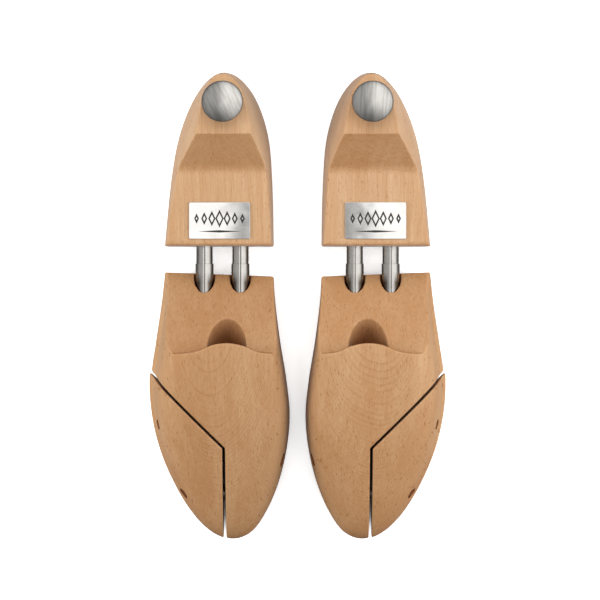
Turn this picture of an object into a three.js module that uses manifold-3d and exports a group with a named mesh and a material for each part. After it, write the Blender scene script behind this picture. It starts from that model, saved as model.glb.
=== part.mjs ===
// A matched pair of split-toe shoe trees with twin telescoping tubes, one mirrored from the other.
// Millimetres, +Z up. Both soles stand on z = 0, toes point to -Y and heels to +Y.
// The tree at -X is for the right foot and the tree at +X is for the left foot.
// Each tree is built about its own axis, where local +X is the outer (little-toe) side of the foot.

import * as THREE from "three";
import { mergeVertices } from "three/addons/utils/BufferGeometryUtils.js";
import Module from "manifold-3d";

const wasm = await Module();
wasm.setup();

// ---------- driving dimensions ----------

const TREE_AXIS_X = 45.2; // from the pair's mirror plane to the axis of each tree
const GAP = 0.2; // between pieces that touch

// Outline of the forefoot seen from above, with the toe flap closed: [y, inner side x, outer side x]
const FOREFOOT_OUTLINE = [
  [-145.2, -5, -5],
  [-141, -16.2, 7.2],
  [-130, -24.6, 18.6],
  [-111, -33, 30.4],
  [-89, -38.4, 39.6],
  [-67, -40.3, 44.7],
  [-44, -38, 46],
  [-22, -34.4, 43],
  [4, -31.2, 39.2],
  [22, -30.2, 37.3],
];
const FOREFOOT_RIDGE = [[-145.2, -5], [-60, -3], [22, -1]]; // x of the highest line, [y, x]
const FOREFOOT_TOP = [ // and its height
  [-145.2, 9.5],
  [-141, 17.5],
  [-122, 29.5],
  [-100, 38.5],
  [-78, 45.8],
  [-55, 51.5],
  [-28, 56.3],
  [22, 60],
];
const FOREFOOT_WIDEST = [[-145.2, 9.5], [-120, 11], [-88, 13], [22, 14]]; // height of the widest line, [y, z]
const FOREFOOT_SOLE = [[-145.2, 9.5], [-141, 5.2], [-122, 2.3], [-100, 0.4], [-88, 0], [22, 0]];
const TIP_SECTION = 0.012; // where the first section lies, as a share of the quarter turn from tip to base
const FULLNESS_POWER = 3.5; // how late the round toe sections turn into the full ones of the instep
const ROUNDING = { toe: 2.2, inner: 10, outer: 8 }; // power of the sections' upper curve; 2 is an ellipse
const SIDE_LEAN = { inner: [0.05, 0.03], outer: [0.12, 0.22] }; // share drawn in at the top: [toe, instep]
const SOLE_FULLNESS = 1.12; // over 1, so that the middle of the sole is flat
const REAR_FACE_Y = 19.6; // on the tree's axis
const REAR_FACE_SKEW = THREE.MathUtils.degToRad(2.2); // the inner side lies further towards the toe

// Ramp that rises from the rear face to the instep, and the lip at its end, seen from above: [x, y]
const RAMP_REAR_Z = 18;
const RAMP_SLOPE = 0.68;
const LIP_LINE = [
  [62, -29],
  [24, -28.6],
  [15, -27],
  [6, -23.4],
  [-3, -22.4],
  [-12, -24],
  [-21, -27.6],
  [-30, -28.6],
  [-62, -29],
];

// Finger hole, cut along an axis that dips under the lip. Its section is half a tall ellipse below the axis
// and half a flat one above it.
const FINGER = { x: -2.2, y: -24.5, z: 48, dip: THREE.MathUtils.degToRad(22), from: -30, to: 13.5 };
const FINGER_SECTION = { halfWidth: 11.75, floor: 17, ceiling: 3.2 };

// Toe flap: parted from the block by one saw cut with a corner, then spread by its springs
const SPLIT_X = -0.5;
const SPLIT_CORNER_Y = -87;
const SAW_CUT = 0.8;
const FLAP_SPREAD = 1;
const FLAP_REACH = 70; // beyond the outline, so that the cutting shapes pass right through
const CUT = { below: -10, above: 100, side: 80 }; // the cutting shapes end here, outside the blocks

// Cross pins and screw of the flap
const REAR_PIN = { y: -73.4, z: 21, from: -12, to: 38.5, springFrom: 2.4, springTo: 20.6 };
const FRONT_PIN = { y: -116.4, z: 17, from: -18, to: 23.5, springFrom: -11.6, springTo: 0.7 };
const PIN_RADIUS = 2.5;
const PIN_HOLE_RADIUS = 2.9;
const PIN_END_ROOM = 2; // between a pin or the screw and the bottom of its hole
const FLAP_SPRING = { radius: 3.6, wire: 0.55, turns: 4 };
const SPRING_POCKET_RADIUS = 4.6;
const SCREW = { y: -95.3, z: 20, headFrom: -30, headTo: -27.2, to: 15 };
const SCREW_RADIUS = { shank: 2, head: 3.6, clearance: 2.5, pocket: 4 };
const SCREW_SLOT = { width: 1, depth: 1 };

// Telescoping tubes
const TUBE_PAIR_X = 1.4;
const TUBE_SPACING = 22.3;
const TUBE_Z = 19;
const INNER_TUBE = { outer: 5.05, inner: 4.55, from: -14, to: 80 };
const SLEEVE = { outer: 5.6, inner: 5.17, from: -46, to: 26.3 };
const SEAM_HALF_ANGLE = THREE.MathUtils.degToRad(1.8);
const SLEEVE_BORE = { mouth: 6.3, mouthEnd: -5, seat: 5.85, end: -47, opening: 40 };
const TUBE_BORE = { radius: 5.3, end: 80.5 };
const SPRING_SEAT = { radius: 4.85, from: -46, to: -40 };
const TUBE_SPRING = { radius: 4.1, wire: 0.6, turns: 6 };
const SLEEVE_PIN_Y = -43;
const TUBE_PIN_Y = 70;
const LOCK_PIN = { radius: 1.2, hole: 1.45, from: 0.8, to: 26.5, holeEnd: 27 };

// Heel block: outline at its widest height, [y, inner side x, outer side x]
const HEEL_OUTLINE = [
  [145.2, 0, 0],
  [141, -10, 10],
  [126, -20.6, 20.9],
  [104, -27.2, 29],
  [78, -29.4, 33.6],
  [37.2, -30.4, 37.6],
];
const HEEL_WIDEST_Z = 12;
const HEEL_SOLE_LEAN = { share: 0.1, power: 3 }; // share of the half width lost at the sole
const HEEL_TOP_LEAN = { inner: 0.365, outer: 0.42, power: 1.45 }; // and at the knob platform
const HEEL_TIP = { share: 0.55, angle: 0.9 }; // the tip leans in by this share, in full past the angle
const HEEL_END_LEAN = { share: 0.04, power: 1.5 }; // share of the block's length lost at its top
const HEEL_FRONT = { share: 0.45, run: 60 }; // the front end leans in by this share, in full after the run
const PLATE_PLATFORM_Z = 32;
const KNOB_PLATFORM_Z = 56;
const SLOPE_FOOT_Y = 84;
const SLOPE_HEAD_Y = 104.5;
const SLOPE_ROUNDING = 0.15; // share of the slope's run that its foot is rounded over, each way
const FRONT_EDGE_ROUND = 2.6;

// Knob, on its stud
const KNOB_Y = 123;
const STUD = { radius: 3, from: 36, to: 67, hole: 3.3, holeEnd: 35.5 };
const WASHER = { radius: 7.6, thickness: 1.1 };
const KNOB = { height: 16.5, boreTop: 10.5, domeRadius: 11.8, domeHeight: 4.1 };
const KNOB_SIDE = [ // under the dome: [radius, height]
  [7, 0],
  [6.4, 1],
  [6.4, 4.4],
  [7.8, 6.2],
  [11.2, 8.6],
  [12.3, 9.8],
  [12.5, 10.9],
  [12.4, 11.7],
];

// Plate on the heel block's low platform
const PLATE = { x: 2.8, y: 52.6, width: 37.7, depth: 22.6, thickness: 1, corner: 1.1 };
const PRONG = { radius: 0.75, hole: 1, length: 4.6, holeDepth: 5.2, spacing: 28 };

// Roundness of the faceted shapes
const SIDES = { lock: 8, pin: 12, bore: 20, tube: 16, knob: 20 };
const SECTION_POINTS = 28;
const FOREFOOT_SECTIONS = 17;
const HEEL_SLICES = { below: 3, above: 6 }; // below and above the widest height
const DOME_STEPS = 5;
const COIL = { stepsPerTurn: 8, wireSides: 4 };

// ---------- materials ----------

const beech = new THREE.MeshStandardMaterial({ color: 0xcf9f72, roughness: 0.55, metalness: 0 });
const tubeSteel = new THREE.MeshStandardMaterial({ color: 0xb9b3a8, roughness: 0.3, metalness: 1 });
const satinNickel = new THREE.MeshStandardMaterial({ color: 0xb3afa8, roughness: 0.38, metalness: 1 });
const plateNickel = new THREE.MeshStandardMaterial({ color: 0xd6d2ca, roughness: 0.16, metalness: 1 });
const springSteel = new THREE.MeshStandardMaterial({ color: 0x8c8c8c, roughness: 0.35, metalness: 1 });
const pinSteel = new THREE.MeshStandardMaterial({ color: 0x9a948c, roughness: 0.4, metalness: 1 });

// ---------- solids ----------

function solid(geometry) {
  const plain = geometry.index ? geometry.clone() : geometry;
  plain.deleteAttribute("normal");
  plain.deleteAttribute("uv");
  const merged = mergeVertices(plain, 1e-4);
  const vertProperties = new Float32Array(merged.attributes.position.array);
  const triVerts = new Uint32Array(merged.index.array);
  return new wasm.Manifold(new wasm.Mesh({ numProp: 3, vertProperties, triVerts }));
}

function geometryOf(manifold) {
  const mesh = manifold.getMesh();
  const points = new Float32Array((mesh.vertProperties.length / mesh.numProp) * 3);
  for (let i = 0; i < points.length / 3; i++) {
    for (let k = 0; k < 3; k++) points[i * 3 + k] = mesh.vertProperties[i * mesh.numProp + k];
  }
  const geometry = new THREE.BufferGeometry();
  geometry.setAttribute("position", new THREE.BufferAttribute(points, 3));
  geometry.setIndex(new THREE.BufferAttribute(new Uint32Array(mesh.triVerts), 1));
  return geometry;
}

function rodX(radius, from, to, y, z, sides = SIDES.pin) {
  const rod = new THREE.CylinderGeometry(radius, radius, to - from, sides);
  return solid(rod.rotateZ(Math.PI / 2).translate((from + to) / 2, y, z));
}

function rodY(radius, from, to, x, z, sides = SIDES.bore) {
  const rod = new THREE.CylinderGeometry(radius, radius, to - from, sides);
  return solid(rod.translate(x, (from + to) / 2, z));
}

function rodZ(radius, from, to, x, y, sides = SIDES.pin) {
  const rod = new THREE.CylinderGeometry(radius, radius, to - from, sides);
  return solid(rod.rotateX(Math.PI / 2).translate(x, y, (from + to) / 2));
}

// A shape drawn from above, raised from one height to another
function planPrism(shape, from, to) {
  const prism = new THREE.ExtrudeGeometry(shape, { depth: to - from, bevelEnabled: false, curveSegments: 3 });
  return solid(prism.translate(0, 0, from));
}

// A shape drawn in side view as (y, z), drawn out along X
function sidePrism(shape, from, to) {
  const prism = new THREE.ExtrudeGeometry(shape, { depth: to - from, bevelEnabled: false, curveSegments: 5 });
  const yzx = new THREE.Matrix4().set(0, 0, 1, from, 1, 0, 0, 0, 0, 1, 0, 0, 0, 0, 0, 1);
  return solid(prism.applyMatrix4(yzx));
}

function polygon(points) {
  return new THREE.Shape(points.map(([x, y]) => new THREE.Vector2(x, y)));
}

// A skin over a row of rings with equal point counts, closed by a fan at each end
function skin(rings) {
  const count = rings[0].length;
  const points = rings.flat();
  const faces = [];
  for (let r = 0; r + 1 < rings.length; r++) {
    for (let i = 0; i < count; i++) {
      const j = (i + 1) % count;
      const [a, b, c, d] = [r * count + i, r * count + j, (r + 1) * count + j, (r + 1) * count + i];
      faces.push(a, b, c, a, c, d);
    }
  }
  for (const [ring, first, flip] of [[rings[0], 0, true], [rings.at(-1), points.length - count, false]]) {
    const centre = ring.reduce((sum, p) => sum.add(p), new THREE.Vector3()).divideScalar(count);
    for (let i = 0; i < count; i++) {
      const [a, b] = [first + i, first + ((i + 1) % count)];
      faces.push(...(flip ? [b, a, points.length] : [a, b, points.length]));
    }
    points.push(centre);
  }
  const geometry = new THREE.BufferGeometry().setFromPoints(points);
  geometry.setIndex(faces);
  return solid(geometry);
}

// Smooth curve through a few [t, value] points, in t order
function curveThrough(points) {
  const slopes = points.map((_, i) => {
    const before = points[Math.max(i - 1, 0)];
    const after = points[Math.min(i + 1, points.length - 1)];
    return (after[1] - before[1]) / (after[0] - before[0]);
  });
  return (t) => {
    const found = points.findIndex((p, i) => i > 0 && t <= p[0]);
    const i = found < 0 ? points.length - 1 : found;
    const [start, end] = [points[i - 1], points[i]];
    const width = end[0] - start[0];
    const s = (t - start[0]) / width;
    const rise = s * s * (3 - 2 * s);
    return (
      start[1] * (1 - rise) + end[1] * rise
      + width * s * (1 - s) * (slopes[i - 1] * (1 - s) - slopes[i] * s)
    );
  };
}

// A block with one round end is measured by an angle: 0 at the tip of the round end, a right angle at the
// flat end. Lengths along it then follow a cosine, which gives the tip its roundness.
function roundEnded(tip, base) {
  const length = base - tip;
  const yAt = (angle) => tip + length * (1 - Math.cos(angle));
  const angleAt = (y) => Math.acos(THREE.MathUtils.clamp(1 - (y - tip) / length, 0, 1));
  const curve = (rows, column = 1) => curveThrough(rows.map((row) => [angleAt(row[0]), row[column]]));
  return { yAt, curve };
}

// ---------- wooden blocks ----------

// The closed foot shape from toe tip to rear face, before anything is cut from it
function forefootShape() {
  const [tip, base] = [FOREFOOT_OUTLINE[0][0], FOREFOOT_OUTLINE.at(-1)[0]];
  const along = roundEnded(tip, base);
  const inner = along.curve(FOREFOOT_OUTLINE, 1);
  const outer = along.curve(FOREFOOT_OUTLINE, 2);
  const [ridge, top, widest, sole] = [FOREFOOT_RIDGE, FOREFOOT_TOP, FOREFOOT_WIDEST, FOREFOOT_SOLE]
    .map((rows) => along.curve(rows));
  const rings = [];
  for (let s = 0; s < FOREFOOT_SECTIONS; s++) {
    const share = Math.max(TIP_SECTION, s / (FOREFOOT_SECTIONS - 1));
    const angle = (Math.PI / 2) * share;
    const fullness = share ** FULLNESS_POWER;
    const ring = [];
    for (let i = 0; i < SECTION_POINTS; i++) {
      const quarter = Math.floor((4 * i) / SECTION_POINTS);
      const through = THREE.MathUtils.smoothstep((4 * i) / SECTION_POINTS - quarter, 0, 1);
      const turn = (Math.PI / 2) * (quarter + through); // points lie closer where the section bends
      const [c, h] = [Math.cos(turn), Math.sin(turn)];
      const foot = c > 0 ? "outer" : "inner";
      const side = c > 0 ? outer(angle) - ridge(angle) : ridge(angle) - inner(angle);
      const power = THREE.MathUtils.lerp(ROUNDING.toe, ROUNDING[foot], fullness);
      const lean = THREE.MathUtils.lerp(...SIDE_LEAN[foot], fullness);
      const up = Math.max(h, 0) ** (2 / power);
      const down = Math.min(1, SOLE_FULLNESS * Math.sqrt(Math.max(-h, 0)));
      const wide = Math.abs(c) ** (h >= 0 ? 2 / power : 1 / 2);
      const z = widest(angle)
        + up * (top(angle) - widest(angle))
        - down * (widest(angle) - Math.max(0, sole(angle)));
      const x = ridge(angle) + Math.sign(c) * wide * side * (1 - lean * Math.sqrt(up));
      ring.push(new THREE.Vector3(x, along.yAt(angle), z));
    }
    rings.push(ring.reverse());
  }
  return skin(rings);
}

// Side (y, z) and plan (x, y) shapes that meet in the scoop behind the lip
function rampCutter() {
  const [front, back] = [-90, 60];
  const rampZ = (y) => RAMP_REAR_Z + RAMP_SLOPE * (REAR_FACE_Y - y);
  const high = CUT.above;
  const aboveRamp = polygon([[back, rampZ(back)], [back, high], [front, high], [front, rampZ(front)]]);
  const behindLip = new THREE.Shape();
  behindLip.moveTo(LIP_LINE[0][0], back);
  behindLip.lineTo(...LIP_LINE[0]);
  behindLip.splineThru(LIP_LINE.slice(1).map(([x, y]) => new THREE.Vector2(x, y)));
  behindLip.lineTo(LIP_LINE.at(-1)[0], back);
  return planPrism(behindLip, CUT.below, high).intersect(sidePrism(aboveRamp, -CUT.side, CUT.side));
}

function fingerHole() {
  const section = new THREE.Shape();
  const { halfWidth, floor, ceiling } = FINGER_SECTION;
  section.absellipse(0, 0, halfWidth, floor, Math.PI, 2 * Math.PI, false);
  section.absellipse(0, 0, halfWidth, ceiling, 0, Math.PI, false);
  const hole = new THREE.ExtrudeGeometry(section, {
    depth: FINGER.to - FINGER.from,
    bevelEnabled: false,
    curveSegments: SIDES.pin,
  });
  hole.translate(0, 0, FINGER.from).rotateX(Math.PI / 2 + FINGER.dip);
  return solid(hole.translate(FINGER.x, FINGER.y, FINGER.z));
}

// Plan shape of the toe flap, drawn in by the given distance from the middle of the saw cut
function flapPlan(inset) {
  const x = SPLIT_X + inset;
  const cornerY = SPLIT_CORNER_Y + (x - SPLIT_X) - inset * Math.SQRT2;
  return polygon([
    [x, cornerY],
    [x, -FLAP_REACH * 3],
    [FLAP_REACH, -FLAP_REACH * 3],
    [FLAP_REACH, cornerY + FLAP_REACH - x],
  ]);
}

function rearFaceCutter() {
  const depth = 20;
  const box = new THREE.BoxGeometry(2 * CUT.side, depth, 2 * CUT.above);
  return solid(box.translate(0, depth / 2, 0).rotateZ(REAR_FACE_SKEW).translate(0, REAR_FACE_Y, 0));
}

const tubeXs = [TUBE_PAIR_X - TUBE_SPACING / 2, TUBE_PAIR_X + TUBE_SPACING / 2];

function forefootBlock() {
  let block = forefootShape().subtract(rampCutter()).subtract(rearFaceCutter()).subtract(fingerHole());
  block = block.subtract(planPrism(flapPlan(-SAW_CUT / 2), CUT.below, CUT.above));
  for (const x of tubeXs) {
    block = block
      .subtract(rodY(SLEEVE_BORE.mouth, SLEEVE_BORE.mouthEnd, SLEEVE_BORE.opening, x, TUBE_Z))
      .subtract(rodY(SLEEVE_BORE.seat, SLEEVE_BORE.end, 0, x, TUBE_Z))
      .subtract(rodZ(LOCK_PIN.hole, CUT.below, LOCK_PIN.holeEnd, x, SLEEVE_PIN_Y, SIDES.lock));
  }
  for (const pin of [REAR_PIN, FRONT_PIN]) {
    block = block
      .subtract(rodX(PIN_HOLE_RADIUS, pin.from - PIN_END_ROOM, FLAP_REACH, pin.y, pin.z))
      .subtract(rodX(SPRING_POCKET_RADIUS, pin.springFrom - GAP, FLAP_REACH / 2, pin.y, pin.z));
  }
  return block
    .subtract(rodX(SCREW_RADIUS.clearance, SCREW.headFrom, FLAP_REACH, SCREW.y, SCREW.z))
    .subtract(rodX(SCREW_RADIUS.pocket, -FLAP_REACH, SCREW.headTo + GAP, SCREW.y, SCREW.z));
}

function toeFlap() {
  let flap = forefootShape()
    .intersect(planPrism(flapPlan(SAW_CUT / 2), CUT.below, CUT.above))
    .translate([FLAP_SPREAD, 0, 0]);
  for (const pin of [REAR_PIN, FRONT_PIN]) {
    flap = flap.subtract(rodX(PIN_HOLE_RADIUS, pin.from, FLAP_REACH, pin.y, pin.z));
  }
  return flap
    .subtract(rodX(SPRING_POCKET_RADIUS, -FLAP_REACH, REAR_PIN.springTo + GAP, REAR_PIN.y, REAR_PIN.z))
    .subtract(rodX(SCREW_RADIUS.shank + GAP, -FLAP_REACH, SCREW.to + PIN_END_ROOM, SCREW.y, SCREW.z));
}

// Level slices of the heel block, from its sole up to the knob platform
function heelShape() {
  const [tip, base] = [HEEL_OUTLINE[0][0], HEEL_OUTLINE.at(-1)[0]];
  const along = roundEnded(tip, base);
  const inner = along.curve(HEEL_OUTLINE, 1);
  const outer = along.curve(HEEL_OUTLINE, 2);
  const steps = SECTION_POINTS / 2;
  const rings = [];
  for (let k = -HEEL_SLICES.below; k <= HEEL_SLICES.above; k++) {
    const above = Math.max(0, k / HEEL_SLICES.above);
    const below = Math.sin((Math.PI / 2) * Math.max(0, -k / HEEL_SLICES.below));
    const z = HEEL_WIDEST_Z * (1 - below) + (KNOB_PLATFORM_Z - HEEL_WIDEST_Z) * above;
    const soleLean = HEEL_SOLE_LEAN.share * below ** HEEL_SOLE_LEAN.power;
    const topLean = above ** HEEL_TOP_LEAN.power;
    const endLean = HEEL_END_LEAN.share * (above ** HEEL_END_LEAN.power + below ** HEEL_SOLE_LEAN.power);
    const ring = [];
    for (let i = -steps; i <= steps; i++) {
      const angle = (Math.PI / 2) * (Math.abs(i) / steps);
      const y = along.yAt(angle);
      const back = THREE.MathUtils.smoothstep(y, base, base + HEEL_FRONT.run);
      const tipward = THREE.MathUtils.smoothstep(HEEL_TIP.angle - angle, 0, HEEL_TIP.angle);
      const share = THREE.MathUtils.lerp(HEEL_FRONT.share, 1, back) * (1 - (1 - HEEL_TIP.share) * tipward);
      const sideLean = soleLean + topLean * (i < 0 ? HEEL_TOP_LEAN.inner : HEEL_TOP_LEAN.outer);
      const x = (i < 0 ? inner(angle) : outer(angle)) * (1 - sideLean * share);
      ring.push(new THREE.Vector3(x, base + (y - base) * (1 - endLean), z));
    }
    rings.push(ring.reverse());
  }
  return skin(rings);
}

// Side shape (y, z) of what is cut away above the two platforms and the slope between them
function heelScoop() {
  const front = HEEL_OUTLINE.at(-1)[0];
  const outside = front - 10;
  const run = SLOPE_HEAD_Y - SLOPE_FOOT_Y;
  const rise = KNOB_PLATFORM_Z - PLATE_PLATFORM_Z;
  const [easeRun, easeRise] = [SLOPE_ROUNDING * run, SLOPE_ROUNDING * rise];
  const shape = new THREE.Shape();
  shape.moveTo(outside, CUT.above);
  shape.lineTo(outside, PLATE_PLATFORM_Z - FRONT_EDGE_ROUND);
  shape.lineTo(front, PLATE_PLATFORM_Z - FRONT_EDGE_ROUND);
  shape.quadraticCurveTo(front, PLATE_PLATFORM_Z, front + FRONT_EDGE_ROUND, PLATE_PLATFORM_Z);
  shape.lineTo(SLOPE_FOOT_Y - easeRun, PLATE_PLATFORM_Z);
  shape.quadraticCurveTo(SLOPE_FOOT_Y, PLATE_PLATFORM_Z, SLOPE_FOOT_Y + easeRun, PLATE_PLATFORM_Z + easeRise);
  shape.lineTo(SLOPE_HEAD_Y, KNOB_PLATFORM_Z);
  shape.lineTo(SLOPE_HEAD_Y + run, KNOB_PLATFORM_Z + rise);
  shape.lineTo(SLOPE_HEAD_Y + run, CUT.above);
  return sidePrism(shape, -CUT.side, CUT.side);
}

function heelBlock() {
  let block = heelShape().subtract(heelScoop());
  for (const x of tubeXs) {
    block = block
      .subtract(rodY(TUBE_BORE.radius, 0, TUBE_BORE.end, x, TUBE_Z))
      .subtract(rodZ(LOCK_PIN.hole, CUT.below, LOCK_PIN.holeEnd, x, TUBE_PIN_Y, SIDES.lock));
  }
  for (const side of [-1, 1]) {
    const x = PLATE.x + (side * PRONG.spacing) / 2;
    block = block.subtract(rodZ(PRONG.hole, PLATE_PLATFORM_Z - PRONG.holeDepth, CUT.above, x, PLATE.y));
  }
  return block.subtract(rodZ(STUD.hole, STUD.holeEnd, CUT.above, 0, KNOB_Y));
}

// ---------- metal pieces ----------

// Rolled tube along Y with an open seam on top
function seamedTube(tube, x) {
  const section = new THREE.Shape();
  const [start, end] = [SEAM_HALF_ANGLE - Math.PI / 2, 1.5 * Math.PI - SEAM_HALF_ANGLE];
  section.absarc(0, 0, tube.outer, start, end, false);
  section.absarc(0, 0, tube.inner, end, start, true);
  const rolled = new THREE.ExtrudeGeometry(section, {
    depth: tube.to - tube.from,
    bevelEnabled: false,
    curveSegments: SIDES.tube,
  });
  return solid(rolled.rotateX(-Math.PI / 2).translate(x, tube.from, TUBE_Z));
}

// Coil about Z from z = 0, its outline made of a small polygon carried round a helix
function coil(spring, length) {
  const { stepsPerTurn, wireSides } = COIL;
  const steps = spring.turns * stepsPerTurn;
  const climb = (length - 2 * spring.wire) / steps;
  const rings = [];
  for (let s = 0; s <= steps; s++) {
    const turn = (2 * Math.PI * s) / stepsPerTurn;
    const ring = [];
    for (let i = 0; i < wireSides; i++) {
      const a = (2 * Math.PI * i) / wireSides;
      const r = spring.radius + spring.wire * Math.cos(a);
      const z = spring.wire * (1 + Math.sin(a)) + s * climb;
      ring.push(new THREE.Vector3(r * Math.cos(turn), r * Math.sin(turn), z));
    }
    rings.push(ring.reverse());
  }
  return skin(rings);
}

function flapSpring(pin) {
  const wound = coil(FLAP_SPRING, pin.springTo - pin.springFrom);
  return wound.rotate([0, 90, 0]).translate([pin.springFrom, pin.y, pin.z]);
}

function tubeSpring(x) {
  const wound = coil(TUBE_SPRING, INNER_TUBE.from - SPRING_SEAT.to - 2 * GAP);
  return wound.rotate([-90, 0, 0]).translate([x, SPRING_SEAT.to + GAP, TUBE_Z]);
}

function screw() {
  const head = rodX(SCREW_RADIUS.head, SCREW.headFrom, SCREW.headTo, SCREW.y, SCREW.z, SIDES.bore);
  const shank = rodX(SCREW_RADIUS.shank, SCREW.headFrom + SCREW_SLOT.depth, SCREW.to, SCREW.y, SCREW.z);
  const slot = new THREE.BoxGeometry(2 * SCREW_SLOT.depth, SCREW_SLOT.width, 4 * SCREW_RADIUS.head);
  return head.subtract(solid(slot.translate(SCREW.headFrom, SCREW.y, SCREW.z))).add(shank);
}

// Mushroom knob with a low dome and a blind bore for its stud
function knob() {
  const { height, boreTop, domeRadius, domeHeight } = KNOB;
  const profile = [[0, boreTop], [STUD.hole, boreTop], [STUD.hole, 0], ...KNOB_SIDE];
  const sphere = (domeRadius ** 2 + domeHeight ** 2) / (2 * domeHeight);
  const edge = Math.asin(domeRadius / sphere);
  for (let i = DOME_STEPS; i >= 0; i--) {
    const a = edge * (i / DOME_STEPS);
    profile.push([sphere * Math.sin(a), height - sphere * (1 - Math.cos(a))]);
  }
  const turned = new THREE.LatheGeometry(profile.map(([r, z]) => new THREE.Vector2(r, z)), SIDES.knob);
  const base = KNOB_PLATFORM_Z + WASHER.thickness + GAP;
  return solid(turned.rotateX(Math.PI / 2)).translate([0, KNOB_Y, base]);
}

function washer() {
  const from = KNOB_PLATFORM_Z + GAP / 2;
  const disc = rodZ(WASHER.radius, from, from + WASHER.thickness, 0, KNOB_Y, SIDES.knob);
  return disc.subtract(rodZ(STUD.hole + GAP, CUT.below, CUT.above, 0, KNOB_Y));
}

function plate() {
  const { width, depth, corner, thickness } = PLATE;
  const shape = new THREE.Shape();
  for (const [sx, sy, quarter] of [[1, -1, -1], [1, 1, 0], [-1, 1, 1], [-1, -1, 2]]) {
    const [cx, cy] = [sx * (width / 2 - corner), sy * (depth / 2 - corner)];
    shape.absarc(cx, cy, corner, (quarter * Math.PI) / 2, ((quarter + 1) * Math.PI) / 2, false);
  }
  const bottom = PLATE_PLATFORM_Z + GAP / 4;
  let made = planPrism(shape, bottom, bottom + thickness);
  for (const side of [-1, 1]) {
    made = made.add(rodZ(PRONG.radius, -PRONG.length, thickness / 2, (side * PRONG.spacing) / 2, 0)
      .translate([0, 0, bottom]));
  }
  return made.translate([PLATE.x, PLATE.y, 0]);
}

// ---------- one tree, as named pieces ----------

function treePieces() {
  const pieces = [
    ["forefoot_block", forefootBlock(), beech],
    ["toe_flap", toeFlap(), beech],
    ["heel_block", heelBlock(), beech],
    ["guide_pin_rear", rodX(PIN_RADIUS, REAR_PIN.from, REAR_PIN.to, REAR_PIN.y, REAR_PIN.z), pinSteel],
    ["guide_pin_front", rodX(PIN_RADIUS, FRONT_PIN.from, FRONT_PIN.to, FRONT_PIN.y, FRONT_PIN.z), pinSteel],
    ["flap_spring_rear", flapSpring(REAR_PIN), springSteel],
    ["flap_spring_front", flapSpring(FRONT_PIN), springSteel],
    ["flap_screw", screw(), pinSteel],
    ["knob", knob(), satinNickel],
    ["knob_washer", washer(), satinNickel],
    ["knob_stud", rodZ(STUD.radius, STUD.from, STUD.to, 0, KNOB_Y), pinSteel],
    ["heel_plate", plate(), plateNickel],
  ];
  ["inner", "outer"].forEach((side, i) => {
    const x = tubeXs[i];
    const lockHole = (y) => rodZ(LOCK_PIN.hole, 0, LOCK_PIN.holeEnd, x, y, SIDES.lock);
    const lockPin = (y) => rodZ(LOCK_PIN.radius, LOCK_PIN.from, LOCK_PIN.to, x, y, SIDES.lock);
    const seat = rodY(SPRING_SEAT.radius, SPRING_SEAT.from, SPRING_SEAT.to, x, TUBE_Z);
    pieces.push(
      [`sleeve_${side}`, seamedTube(SLEEVE, x).subtract(lockHole(SLEEVE_PIN_Y)), tubeSteel],
      [`tube_${side}`, seamedTube(INNER_TUBE, x).subtract(lockHole(TUBE_PIN_Y)), tubeSteel],
      [`tube_spring_${side}`, tubeSpring(x), springSteel],
      [`spring_seat_${side}`, seat.subtract(lockHole(SLEEVE_PIN_Y)), pinSteel],
      [`sleeve_pin_${side}`, lockPin(SLEEVE_PIN_Y), pinSteel],
      [`tube_pin_${side}`, lockPin(TUBE_PIN_Y), pinSteel],
    );
  });
  return pieces;
}

// ---------- the pair ----------

const pair = new THREE.Group();
for (const [foot, side] of [["right", -1], ["left", 1]]) {
  const tree = new THREE.Group();
  tree.position.x = side * TREE_AXIS_X;
  for (const [name, piece, material] of treePieces()) {
    const placed = side < 0 ? piece.mirror([1, 0, 0]) : piece;
    const mesh = new THREE.Mesh(geometryOf(placed), material);
    mesh.name = `${foot}_${name}`;
    tree.add(mesh);
  }
  pair.add(tree);
}

export default pair;
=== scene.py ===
"""Looks of a mirrored pair of split-toe beech shoe trees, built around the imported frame.

Shapes are worked out in millimetres about the left tree's own axis, where +X is the outer side of the foot,
-Y the toe and +Z up. The right tree is the mirror image of the left one. Objects are in metres.
"""

import math

import bpy
import numpy as np
from mathutils import Matrix, Vector


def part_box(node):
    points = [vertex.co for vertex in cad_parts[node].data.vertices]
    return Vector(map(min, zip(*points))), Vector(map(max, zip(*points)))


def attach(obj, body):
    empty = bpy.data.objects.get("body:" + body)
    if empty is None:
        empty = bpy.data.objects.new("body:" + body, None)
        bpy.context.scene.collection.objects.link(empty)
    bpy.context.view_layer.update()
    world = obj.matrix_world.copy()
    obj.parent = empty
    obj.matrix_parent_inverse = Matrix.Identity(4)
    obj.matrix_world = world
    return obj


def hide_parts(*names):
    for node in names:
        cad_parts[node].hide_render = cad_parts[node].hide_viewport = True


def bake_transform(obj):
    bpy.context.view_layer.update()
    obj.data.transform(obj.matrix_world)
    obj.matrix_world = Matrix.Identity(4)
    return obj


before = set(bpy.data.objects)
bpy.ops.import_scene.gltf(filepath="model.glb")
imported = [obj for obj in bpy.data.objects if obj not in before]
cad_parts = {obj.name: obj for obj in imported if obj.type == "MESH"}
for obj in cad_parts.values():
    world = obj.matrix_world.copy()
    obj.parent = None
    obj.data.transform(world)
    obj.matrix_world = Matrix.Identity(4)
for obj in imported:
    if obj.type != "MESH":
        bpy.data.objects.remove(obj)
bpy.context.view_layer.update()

MM = 0.001


# ---------- places taken from the frame ----------

def axis_of(node):
    low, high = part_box(node)
    return (low + high) / 2 / MM


AXIS_X = axis_of("left_knob_stud").x  # from the pair's mirror plane to the left tree's axis


class Place:
    """Box of a piece of the left tree, in millimetres about the tree's axis."""

    def __init__(self, piece):
        low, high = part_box(f"left_{piece}")
        shift = Vector((AXIS_X, 0, 0))
        self.low = low / MM - shift
        self.high = high / MM - shift
        self.middle = (self.low + self.high) / 2
        self.size = self.high - self.low


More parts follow.
